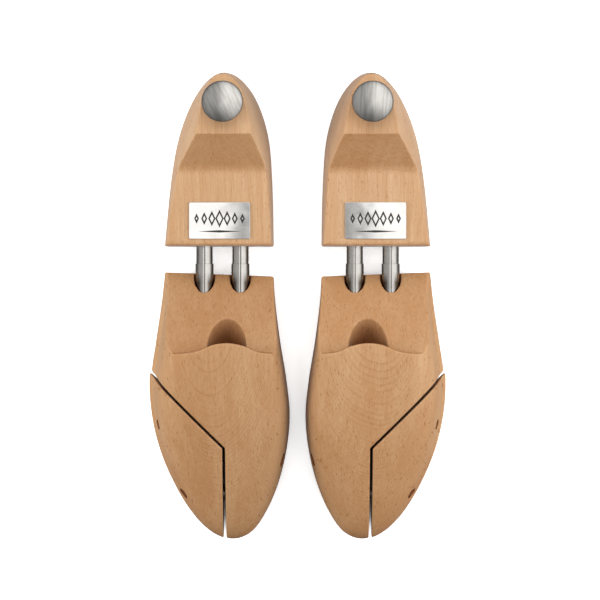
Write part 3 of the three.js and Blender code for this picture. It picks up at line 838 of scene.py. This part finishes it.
def plate_mesh():
    top = PLATE.high.z
    bottom = top - PLATE_THICKNESS
    edge = PLATE_BEVEL * 0.3
    layers = [(0.1, bottom), (0, bottom + 0.1), (0, top - PLATE_BEVEL)]
    layers += [(edge, top - edge), (PLATE_BEVEL, top)]
    rings = [[(x, y, z) for x, y in framed_outline(inset)] for inset, z in layers]
    slab = laid(skin(rings), "z", (PLATE.middle.x, PLATE.middle.y, 0))
    shape = shape_of(carved(slab, engraving(top - ENGRAVING_DEPTH, top + 1)))
    prongs = [
        laid(rod(0.75, PLATE.low.z, bottom + 0.3, 0.3, 24), "z",
             (PLATE.middle.x + side * PRONG_SPACING / 2, PLATE.middle.y, 0))
        for side in (-1, 1)
    ]
    return new_mesh("plate", joined(shape, *prongs))


def plate_fill_shape():
    return joined(*engraving(PLATE.high.z - ENGRAVING_DEPTH + 0.02, PLATE.high.z - 0.07, 0.02))


# ---------- node materials ----------

class Nodes:
    """Builds the node tree of a material or a world. Values are numbers, tuples or sockets of other nodes."""

    def __init__(self, name, world=False):
        self.owner = bpy.data.worlds.new(name) if world else bpy.data.materials.new(name)
        self.owner.use_nodes = True
        self.tree = self.owner.node_tree
        self.tree.nodes.clear()
        self.output = self.tree.nodes.new("ShaderNodeOutputWorld" if world else "ShaderNodeOutputMaterial")

    def add(self, kind, inputs=None, output=0, **settings):
        node = self.tree.nodes.new(f"ShaderNode{kind}")
        for key, value in settings.items():
            setattr(node, key, value)
        for key, value in (inputs or {}).items():
            if isinstance(value, bpy.types.NodeSocket):
                self.tree.links.new(value, node.inputs[key])
            else:
                node.inputs[key].default_value = value
        return node.outputs[output]

    def math(self, operation, *values, clamp=False):
        return self.add("Math", dict(enumerate(values)), operation=operation, use_clamp=clamp)

    def vector(self, operation, *values):
        inputs = {"Scale" if operation == "SCALE" and i == 1 else i: v for i, v in enumerate(values)}
        return self.add("VectorMath", inputs, operation=operation)

    def stretched(self, vector, x, y, z):
        """The coordinates divided by a length in millimetres along each axis."""
        return self.vector("MULTIPLY", vector, (1 / x, 1 / y, 1 / z))

    def noise(self, vector, detail=2.0, roughness=0.5):
        inputs = {"Vector": vector, "Scale": 1.0, "Detail": detail, "Roughness": roughness}
        return self.add("TexNoise", inputs)

    def xyz(self, vector):
        return tuple(self.add("SeparateXYZ", {0: vector}).node.outputs)

    def ramp(self, value, *stops):
        """Colour or grey by value; each stop is (position, grey or colour)."""
        out = self.add("ValToRGB", {"Fac": value})
        elements = out.node.color_ramp.elements
        while len(elements) < len(stops):
            elements.new(0.5)
        for element, (position, colour) in zip(elements, stops):
            element.position = position
            grey = isinstance(colour, (int, float))
            element.color = (colour, colour, colour, 1) if grey else (*colour, 1)
        return out

    def mix(self, share, a, b, blend="MIX"):
        node = self.tree.nodes.new("ShaderNodeMix")
        node.data_type, node.blend_type, node.clamp_factor = "RGBA", blend, True
        for socket, value in ((node.inputs[0], share), (node.inputs[6], a), (node.inputs[7], b)):
            if isinstance(value, bpy.types.NodeSocket):
                self.tree.links.new(value, socket)
            else:
                socket.default_value = value if isinstance(value, float) else (*value, 1)
        return node.outputs[2]

    def toned(self, colour, tone, share=1.0):
        """The colour multiplied by a tone, as far as the share says."""
        return self.mix(share, colour, tone, "MULTIPLY")

    def scaled(self, a, b):
        return self.math("MULTIPLY", a, b)

    def millimetres(self, shift=(0, 0, 0), turn=(0, 0, 0)):
        """The piece's own coordinates in millimetres, shifted and turned."""
        place = self.add("TexCoord", output=3)
        inputs = {"Vector": place, "Location": shift, "Rotation": turn, "Scale": (1 / MM,) * 3}
        return self.add("Mapping", inputs)

    def finish(self, **inputs):
        shader = self.tree.nodes.new("ShaderNodeBsdfPrincipled")
        for key, value in inputs.items():
            socket = shader.inputs[key.replace("_", " ")]
            if isinstance(value, bpy.types.NodeSocket):
                self.tree.links.new(value, socket)
            else:
                socket.default_value = (*value, 1) if isinstance(value, tuple) else value
        self.tree.links.new(shader.outputs[0], self.output.inputs["Surface"])
        return self.owner

    def length(self, a, b):
        return self.math("SQRT", self.math("ADD", self.scaled(a, a), self.scaled(b, b)))

    def bump(self, height, depth_mm, normal=None):
        inputs = {"Height": height, "Strength": 1.0, "Distance": depth_mm * MM}
        if normal is not None:
            inputs["Normal"] = normal
        return self.add("Bump", inputs)


PALE_BEECH = (0.52, 0.345, 0.205)
WARM_BEECH = (0.45, 0.262, 0.134)
RING_TONE = (0.80, 0.70, 0.58)
FLECK_TONE = (0.55, 0.38, 0.24)
END_GRAIN_TONE = (0.84, 0.70, 0.50)
FIBRE_TONE = (0.84, 0.77, 0.69)
# convex edges: painted highlight and wear; hollows: painted shade
EDGE_HIGHLIGHT_AND_WEAR_TONE = (1.12, 1.12, 1.12)
HOLLOW_SHADE_TONE = (0.66, 0.54, 0.44)
# painted shade in the bores and the finger hole
BORE_SHADE_TONE = (0.42, 0.25, 0.145)
RING_SPACING = 0.85
PITH_HEIGHT = 125.0


def beech(name, shift, turn, tint, sheen):
    """Oiled beech with its grain along Y: growth rings, ray flecks, fibres and slow changes of tone."""
    n = Nodes(name)
    p = n.millimetres(shift, turn)
    slow = n.noise(n.stretched(p, 34, 150, 34), 2.0)
    wander = n.noise(n.stretched(p, 32, 120, 32), 1.0)
    waver = n.noise(n.stretched(p, 5, 14, 5), 2.0)

    x, y, z = n.xyz(p)
    depth = n.math("SUBTRACT", PITH_HEIGHT, z)
    radius = n.length(x, depth)
    radius = n.math("ADD", radius, n.scaled(n.math("SUBTRACT", wander, 0.5), 2.5))
    radius = n.math("ADD", radius, n.scaled(waver, 0.35))
    around = n.scaled(n.math("ARCTAN2", x, depth), PITH_HEIGHT - 40)
    trunk = n.add("CombineXYZ", {0: around, 1: y, 2: radius})

    ring = n.math("DIVIDE", radius, RING_SPACING)
    year = n.math("FLOOR", ring)
    vigour = n.add("TexWhiteNoise", {"W": year}, noise_dimensions="1D")
    late_wood = n.ramp(n.math("FRACT", ring), (0.0, 0.0), (0.12, 1.0), (0.4, 0.1), (1.0, 0.0))
    late_wood = n.scaled(late_wood, n.math("MULTIPLY_ADD", vigour, 0.85, 0.15))
    facing = n.xyz(n.add("NewGeometry", output=1))[1]
    late_wood = n.scaled(late_wood, n.ramp(n.math("ADD", facing, 0.5), (0.38, 1.0), (0.6, 0.25)))

    def flecks(width, length, depth, size, fewer):
        cells = n.stretched(trunk, width, length, depth)
        spot = n.add("TexVoronoi", {"Vector": cells, "Scale": 1.0, "Randomness": 0.9})
        chance = n.add("SeparateColor", {0: spot.node.outputs["Color"]})
        reach = n.math("MULTIPLY", n.math("SUBTRACT", chance, fewer, clamp=True), size)
        return n.math("DIVIDE", n.math("SUBTRACT", reach, spot, clamp=True), size * (1 - fewer), clamp=True)

    long_rays = flecks(1.05, 6.0, 12.0, 0.44, 0.3)
    short_rays = flecks(0.7, 2.9, 9.0, 0.46, 0.12)
    rays = n.math("MAXIMUM", n.math("MULTIPLY", long_rays, 2.1, clamp=True),
                  n.math("MULTIPLY", short_rays, 1.7, clamp=True))

    fibre = n.noise(n.stretched(p, 0.45, 14, 0.45), 3.0, 0.6)
    coarse_fibre = n.noise(n.stretched(p, 1.6, 70, 1.6), 4.0, 0.6)

    end_grain = n.math("POWER", n.math("ABSOLUTE", facing), 1.6)

    band = n.noise(n.stretched(trunk, 7, 160, 9), 3.0, 0.55)
    tone = n.math("MULTIPLY_ADD", coarse_fibre, 0.8, n.scaled(slow, 0.7))
    tone = n.math("MULTIPLY_ADD", band, 0.7, n.math("SUBTRACT", tone, 0.25))
    colour = n.mix(n.ramp(tone, (0.55, 0.0), (1.08, 1.0)), PALE_BEECH, WARM_BEECH)
    colour = n.toned(colour, RING_TONE, n.scaled(late_wood, 0.7))
    colour = n.toned(colour, FIBRE_TONE, n.ramp(fibre, (0.3, 0.75), (0.7, 0.0)))
    colour = n.toned(colour, FLECK_TONE, n.scaled(rays, 0.75))
    colour = n.toned(colour, END_GRAIN_TONE, end_grain)

    # paler, smoother convex edges are painted highlight and wear; darker hollows are painted shade
    convexity = n.add("Attribute", output=2, attribute_name="convexity")
    edge = n.math("MULTIPLY", convexity, 2.2, clamp=True)
    hollow_shade = n.math("MULTIPLY", convexity, -2.2, clamp=True)
    colour = n.toned(colour, EDGE_HIGHLIGHT_AND_WEAR_TONE, n.scaled(edge, 0.35))
    colour = n.toned(colour, HOLLOW_SHADE_TONE, n.scaled(hollow_shade, 0.45))
    # painted shade lining the bores and deepening into the finger hole
    colour = n.toned(colour, BORE_SHADE_TONE, n.add("Attribute", output=2, attribute_name="inside"))
    colour = n.toned(colour, tint)

    roughness = n.math("MULTIPLY_ADD", fibre, 0.16, 0.44)
    roughness = n.math("SUBTRACT", roughness, n.scaled(edge, 0.08))
    height = n.math("SUBTRACT", fibre, n.scaled(rays, 0.5))
    normal = n.bump(height, 0.03)
    return n.finish(
        Base_Color=colour, Roughness=roughness, Normal=normal, Specular_IOR_Level=0.35, Sheen_Weight=sheen,
        Sheen_Roughness=0.4,
    )


# tone of the painted shade on the sleeves' sides inside their bores
SHADED_STEEL = (0.20, 0.16, 0.13)
TUBE_LOOK = (0.66, 0.635, 0.60), 0.24  # tint and roughness


def drawn_steel(name, tint, roughness, axis, shaded_y=None):
    """Metal with fine lines along one axis, faint stains and small marks.

    Its sides darken with painted shade from the first y to the second of shaded_y, as they sink into the
    wood.
    """
    n = Nodes(name)
    p = n.millimetres()
    lines = [0.16, 0.16, 0.16]
    lines["xyz".index(axis)] = 26.0
    streak = n.noise(n.stretched(p, *lines), 3.0, 0.6)
    cloud = n.noise(n.stretched(p, 5, 5, 5), 3.0, 0.6)
    marks = n.noise(n.stretched(p, 0.9, 0.9, 0.9), 4.0, 0.7)
    dark = tuple(0.86 * c for c in tint)
    colour = n.mix(n.ramp(cloud, (0.35, 0.0), (0.75, 0.7)), tint, dark)
    colour = n.toned(colour, (0.82, 0.80, 0.78), n.ramp(streak, (0.35, 0.35), (0.65, 0.0)))
    # painted shade on the sides, deepening into the bore
    if shaded_y:
        start, end = shaded_y
        deep = n.math("DIVIDE", n.math("SUBTRACT", start, n.xyz(p)[1]), start - end, clamp=True)
        facing = n.xyz(n.add("NewGeometry", output=1))[2]
        deep = n.scaled(deep, n.ramp(facing, (0.86, 1.0), (0.985, 0.15)))
        colour = n.toned(colour, SHADED_STEEL, deep)
    rough = n.math("MULTIPLY_ADD", streak, 0.12, roughness - 0.06)
    rough = n.math("MULTIPLY_ADD", n.ramp(marks, (0.6, 0.0), (0.8, 1.0)), 0.08, rough)
    return n.finish(Base_Color=colour, Metallic=1.0, Roughness=rough, Normal=n.bump(streak, 0.004))


def turned_nickel(name, tint, streaks, swing, side):
    """Satin nickel brushed round its axis, with soft streaks that differ from knob to knob."""
    n = Nodes(name)
    p = n.vector("SUBTRACT", n.millimetres(), (side * AXIS_X, KNOB.middle.y, KNOB.low.z))
    x, y, z = n.xyz(p)
    radius = n.length(x, y)
    turning = n.add("CombineXYZ", {0: n.scaled(radius, 5.0), 1: n.scaled(z, 5.0)})
    rings = n.noise(turning, 4.0, 0.65)
    swung = n.add("Mapping", {"Vector": p, "Rotation": (0, 0, swing)})
    brushing = n.noise(n.stretched(swung, *streaks), 3.0, 0.6)
    cloud = n.noise(n.stretched(p, 9, 9, 9), 2.0)
    colour = n.mix(n.ramp(cloud, (0.35, 0.0), (0.7, 1.0)), tint, tuple(0.88 * c for c in tint))
    colour = n.toned(colour, (0.66, 0.64, 0.61), n.ramp(brushing, (0.35, 0.8), (0.6, 0.0)))
    rough = n.math("MULTIPLY_ADD", brushing, 0.16, 0.24)
    tangent = n.add("Tangent", direction_type="RADIAL", axis="Z")
    height = n.math("ADD", n.math("MULTIPLY", rings, 0.6), brushing)
    return n.finish(
        Base_Color=colour, Metallic=1.0, Roughness=rough, Anisotropic=0.75, Tangent=tangent,
        Normal=n.bump(height, 0.012),
    )


def polished_nickel(name):
    """Polished plate with faint lengthwise lines and a few rubbed marks."""
    n = Nodes(name)
    p = n.millimetres()
    lines = n.noise(n.stretched(p, 24, 0.12, 3), 3.0, 0.6)
    cloud = n.noise(n.stretched(p, 11, 7, 7), 2.0)
    rub = n.noise(n.stretched(p, 1.4, 0.5, 1), 4.0, 0.7)
    colour = n.mix(n.ramp(cloud, (0.35, 0.0), (0.7, 1.0)), (0.84, 0.825, 0.80), (0.76, 0.735, 0.70))
    rough = n.math("MULTIPLY_ADD", lines, 0.04, 0.02)
    rough = n.math("MULTIPLY_ADD", n.ramp(rub, (0.58, 0.0), (0.78, 1.0)), 0.05, rough)
    wave = n.noise(n.stretched(p, 14, 9, 12), 1.0)
    normal = n.bump(lines, 0.001, n.bump(wave, 0.03))
    return n.finish(Base_Color=colour, Metallic=1.0, Roughness=rough, Normal=normal)


def dark_fill(name):
    """Blackened recess of the engraving."""
    n = Nodes(name)
    p = n.millimetres()
    grain = n.noise(n.stretched(p, 0.25, 0.25, 0.25), 3.0, 0.6)
    colour = n.mix(n.ramp(grain, (0.35, 0.0), (0.7, 1.0)), (0.018, 0.017, 0.016), (0.05, 0.047, 0.044))
    rough = n.math("MULTIPLY_ADD", grain, 0.3, 0.4)
    return n.finish(Base_Color=colour, Metallic=0.3, Roughness=rough, Normal=n.bump(grain, 0.02))


# ---------- the pieces, on both feet ----------

FEET = {"left": 1, "right": -1}
KNOB_TINT = (0.72, 0.70, 0.67)
KNOB_BRUSHING = {"left": ((1.1, 16, 16), 0.05), "right": ((1.6, 14, 14), -0.45)}  # streaks in mm, swing
GRAIN = {  # where each piece lies in its tree trunk, as a shift in mm and a turn; its tint and sheen
    ("left", "forefoot"): ((-8 - AXIS_X, 310, 0), (0.02, 0.01, 0.02), (0.89, 0.845, 0.78), 0.06),
    ("right", "forefoot"): ((11 + AXIS_X, -940, 18), (-0.01, -0.01, -0.02), (0.82, 0.765, 0.69), 0.06),
    ("left", "heel"): ((-30 - AXIS_X, 2100, 40), (0.02, 0.12, 0.01), (0.96, 0.955, 0.955), 0.22),
    ("right", "heel"): ((8 + AXIS_X, -3050, 61), (0.02, -0.08, -0.02), (0.93, 0.92, 0.90), 0.22),
}


def on_foot(foot, mesh, name):
    """A copy of the mesh in the row frame, mirrored for the right foot."""
    made = mesh.copy()
    made.name = name
    made.transform(Matrix.Translation((AXIS_X * MM, 0, 0)) @ Matrix.Scale(MM, 4))
    if FEET[foot] < 0:
        made.transform(Matrix.Scale(-1, 4, (1, 0, 0)))
        made.flip_normals()
    return made


def add_piece(foot, name, mesh, material, part, node=None, smooth_angle=None):
    """Puts one piece on a foot: it rides on a body and stands for its CAD node."""
    piece = linked(f"{foot}_{name}", on_foot(foot, mesh, f"{foot}_{name}"))
    piece.data.materials.clear()
    piece.data.materials.append(material)
    piece.data.shade_smooth()
    if smooth_angle:
        piece.data.set_sharp_from_angle(angle=math.radians(smooth_angle))
    if isinstance(part, tuple):
        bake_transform(piece)
    else:
        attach(piece, f"{foot}_{part}")
    if node:
        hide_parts(f"{foot}_{node}")


def across_gap(foot, place, axis):
    """Start and end of the stretch in which a spring gives, in the row frame."""
    points = []
    for corner in (place.low, place.high):
        point = place.middle.copy()
        point[axis] = corner[axis]
        points.append(Vector((FEET[foot] * (AXIS_X + point.x), point.y, point.z)) * MM)
    return points


def build_wood(foot, blocks):
    grain = {part: beech(f"beech_{foot}_{part}", *GRAIN[foot, part]) for part in ("forefoot", "heel")}
    for part, node in (("forefoot", "forefoot_block"), ("flap", "toe_flap"), ("heel", "heel_block")):
        look = grain["heel" if part == "heel" else "forefoot"]
        add_piece(foot, f"{part}_wood", blocks[part], look, part, node)


def build_metal(foot, metal):
    def add(name, kind, look, shape, part, node, smooth_angle=None):
        add_piece(foot, name, new_mesh(kind, shape), look, part, node, smooth_angle)

    knob_look = turned_nickel(f"satin_nickel_{foot}", KNOB_TINT, *KNOB_BRUSHING[foot], FEET[foot])
    add("knob_top", "knob", knob_look, knob_shape(), "heel", "knob", 40)
    add("knob_collar", "washer", knob_look, washer_shape(), "heel", "knob_washer", 40)
    add_piece(foot, "plate", plate_mesh(), metal["plate"], "heel", "heel_plate", 12)
    add("plate_fill", "fill", metal["fill"], plate_fill_shape(), "heel", None, 25)
    add_piece(foot, "screw", screw_mesh(), metal["pin"], "forefoot", "flap_screw", 35)
    for side in ("inner", "outer"):
        sleeve, tube = seamed_tube(SLEEVES[side], SLEEVE_WALL), seamed_tube(TUBES[side], TUBE_WALL)
        gap = across_gap(foot, Place(f"tube_spring_{side}"), 1)
        add(f"sleeve_{side}_rolled", "sleeve", metal["sleeve"], sleeve, "forefoot",
            f"sleeve_{side}", 40)
        add(f"tube_{side}_rolled", "tube", metal["tube"], tube, "heel", f"tube_{side}", 40)
        add(f"tube_coil_{side}", "spring", metal["spring"], tube_spring_shape(side),
            ("forefoot", "heel", *gap), f"tube_spring_{side}")
        for pin, part in (("sleeve", "forefoot"), ("tube", "heel")):
            node = f"{pin}_pin_{side}"
            add(f"{pin}_lock_{side}", "lock", metal["pin"], lock_pin_shape(node), part, node, 35)
    for end in ("rear", "front"):
        add(f"guide_rod_{end}", "pin", metal["pin"], guide_pin_shape(end), "forefoot",
            f"guide_pin_{end}", 35)
        gap = across_gap(foot, FLAP_SPRINGS[end], 0)
        add(f"flap_coil_{end}", "spring", metal["spring"], flap_spring_shape(end),
            ("forefoot", "flap", *gap), f"flap_spring_{end}")


def build_pair():
    blocks = {"forefoot": forefoot_block(), "flap": toe_flap(), "heel": heel_block()}
    for mesh in blocks.values():
        mark_edges(mesh)
    metal = {
        "tube": drawn_steel("tube_steel", *TUBE_LOOK, "y"),
        # the sleeves carry painted shade on their sides where they sink into the forefoot
        "sleeve": drawn_steel("sleeve_steel", *TUBE_LOOK, "y", (REAR_FACE_Y + 1.5, REAR_FACE_Y - 5)),
        "pin": drawn_steel("pin_steel", (0.42, 0.39, 0.36), 0.36, "x"),
        "spring": drawn_steel("spring_steel", (0.40, 0.40, 0.40), 0.32, "z"),
        "plate": polished_nickel("plate_nickel"),
        "fill": dark_fill("engraving_fill"),
    }
    for foot in FEET:
        build_wood(foot, blocks)
        build_metal(foot, metal)
    for name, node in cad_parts.items():
        if not node.hide_render:
            node.data.materials.clear()
            node.data.materials.append(metal["pin"])


# ---------- floor, lights and camera ----------

CAMERA_AT = (0.0015, 0.0038, 1.525)
CAMERA_LENS = 145.6
SOFTBOXES = {  # place, size in metres, watts, aim
    "key": ((0.0, 0.50, 1.2), (1.2, 0.6), 8.0, (0, 0.02, 0)),
    "heel_side": ((0.0, 1.15, 0.45), (1.3, 0.5), 5.0, (0, 0, 0)),
    "side_left": ((-1.15, -0.05, 0.40), (0.5, 1.2), 18.5, (0, 0, 0)),
    "side_right": ((1.15, -0.05, 0.40), (0.5, 1.2), 18.5, (0, 0, 0)),
}
COVERED_WITHIN = 0.03  # metres within which something over the floor darkens it with painted shadow
COVERED_SHARES = (0.10, 0.0), (0.26, 1.0)  # openness at which the floor's painted shadow is full, and at which the floor is plain
# tone of the painted shadow on the floor
FLOOR_SHADOW_TONE = (0.12, 0.11, 0.10)
BOUNCING_FLOOR = (0.38, 0.38, 0.38)  # seen by light that bounces off it
REFLECTED_FLOOR = (0.10, 0.10, 0.10)  # and in the metal
FLOOR_GLOW = 0.5


def build_floor():
    n = Nodes("studio_floor")
    p = n.millimetres()
    mottle = n.noise(n.stretched(p, 60, 60, 60), 2.0)
    colour = n.mix(mottle, (0.96, 0.96, 0.96), (0.98, 0.98, 0.98))
    # painted shadow: the floor darkens, and stops glowing, where something covers it
    openness = n.add("AmbientOcclusion", {"Distance": COVERED_WITHIN}, output=1, samples=16)
    open_floor = n.ramp(openness, *COVERED_SHARES)
    colour = n.mix(open_floor, FLOOR_SHADOW_TONE, colour)
    ray = n.add("LightPath").node
    hidden = n.mix(ray.outputs["Is Glossy Ray"], BOUNCING_FLOOR, REFLECTED_FLOOR)
    colour = n.mix(ray.outputs["Is Camera Ray"], hidden, colour)
    glow = n.scaled(n.scaled(ray.outputs["Is Camera Ray"], open_floor), FLOOR_GLOW)
    material = n.finish(Base_Color=colour, Roughness=0.9, Specular_IOR_Level=0.0, Emission_Color=(1, 1, 1),
                        Emission_Strength=glow)
    size = 4.0
    shape = ([(-size, -size, 0), (size, -size, 0), (size, size, 0), (-size, size, 0)], [(0, 1, 2, 3)])
    floor = linked("studio_floor", new_mesh("studio_floor", shape))
    floor.location.z = -0.0002
    floor.data.materials.append(material)


def add_softbox(name, at, size, power, aim):
    light = bpy.data.lights.new(name, "AREA")
    light.shape, light.size, light.size_y = "RECTANGLE", *size
    light.energy = power
    box = bpy.data.objects.new(name, light)
    bpy.context.scene.collection.objects.link(box)
    box.location = at
    box.rotation_euler = (Vector(aim) - Vector(at)).to_track_quat("-Z", "Y").to_euler()
    box.visible_camera = False
    box.visible_glossy = False


def build_world():
    """A soft sky for diffuse light, a room with a panel overhead for reflections, and white behind it all."""
    n = Nodes("studio", world=True)
    direction = n.add("TexCoord", output=0)
    x, y, z = n.xyz(direction)
    soft = n.ramp(z, (0.0, 0.16), (1.0, 0.58))
    to_right, to_heel = (n.math("MULTIPLY_ADD", axis, 0.5, 0.5) for axis in (x, y))
    room = n.ramp(to_right, (0.12, 0.50), (0.47, 0.62), (0.55, 1.45), (0.92, 1.25))
    room = n.scaled(room, n.ramp(to_heel, (0.08, 0.30), (0.42, 1.0)))
    room = n.scaled(room, n.ramp(z, (0.0, 0.35), (0.35, 1.0)))
    steep = n.math("MAXIMUM", z, 0.05)
    across, along = n.math("ABSOLUTE", n.math("DIVIDE", x, steep)), n.math("DIVIDE", y, steep)
    overhead = n.math("MAXIMUM", across, n.scaled(n.math("ABSOLUTE", along), 0.6))
    panel = n.ramp(overhead, (0.09, 1.0), (0.13, 0.0))
    gap = n.ramp(n.math("MULTIPLY_ADD", along, 0.12, across), (0.026, 1.0), (0.034, 0.0))
    glossy = n.math("MULTIPLY_ADD", panel, 1.3, n.scaled(room, n.math("SUBTRACT", 1.0, panel)))
    glossy = n.scaled(glossy, n.math("SUBTRACT", 1.0, n.scaled(gap, 0.72)))
    ray = n.add("LightPath").node
    glow = n.mix(ray.outputs["Is Glossy Ray"], soft, glossy)
    glow = n.mix(ray.outputs["Is Camera Ray"], glow, (1.0, 1.0, 1.0))
    n.tree.links.new(n.add("Background", {"Color": glow}), n.output.inputs[0])
    bpy.context.scene.world = n.owner


def build_camera():
    camera = bpy.data.cameras.new("camera")
    camera.lens = CAMERA_LENS
    camera.sensor_width = 36
    camera.clip_start, camera.clip_end = 0.05, 20
    obj = bpy.data.objects.new("camera", camera)
    bpy.context.scene.collection.objects.link(obj)
    obj.location = CAMERA_AT
    bpy.context.scene.camera = obj


build_camera()
for name, lamp in SOFTBOXES.items():
    add_softbox(name, *lamp)
build_world()
build_floor()
build_pair()
bpy.context.scene.view_settings.view_transform = "Standard"
bpy.context.view_layer.update()
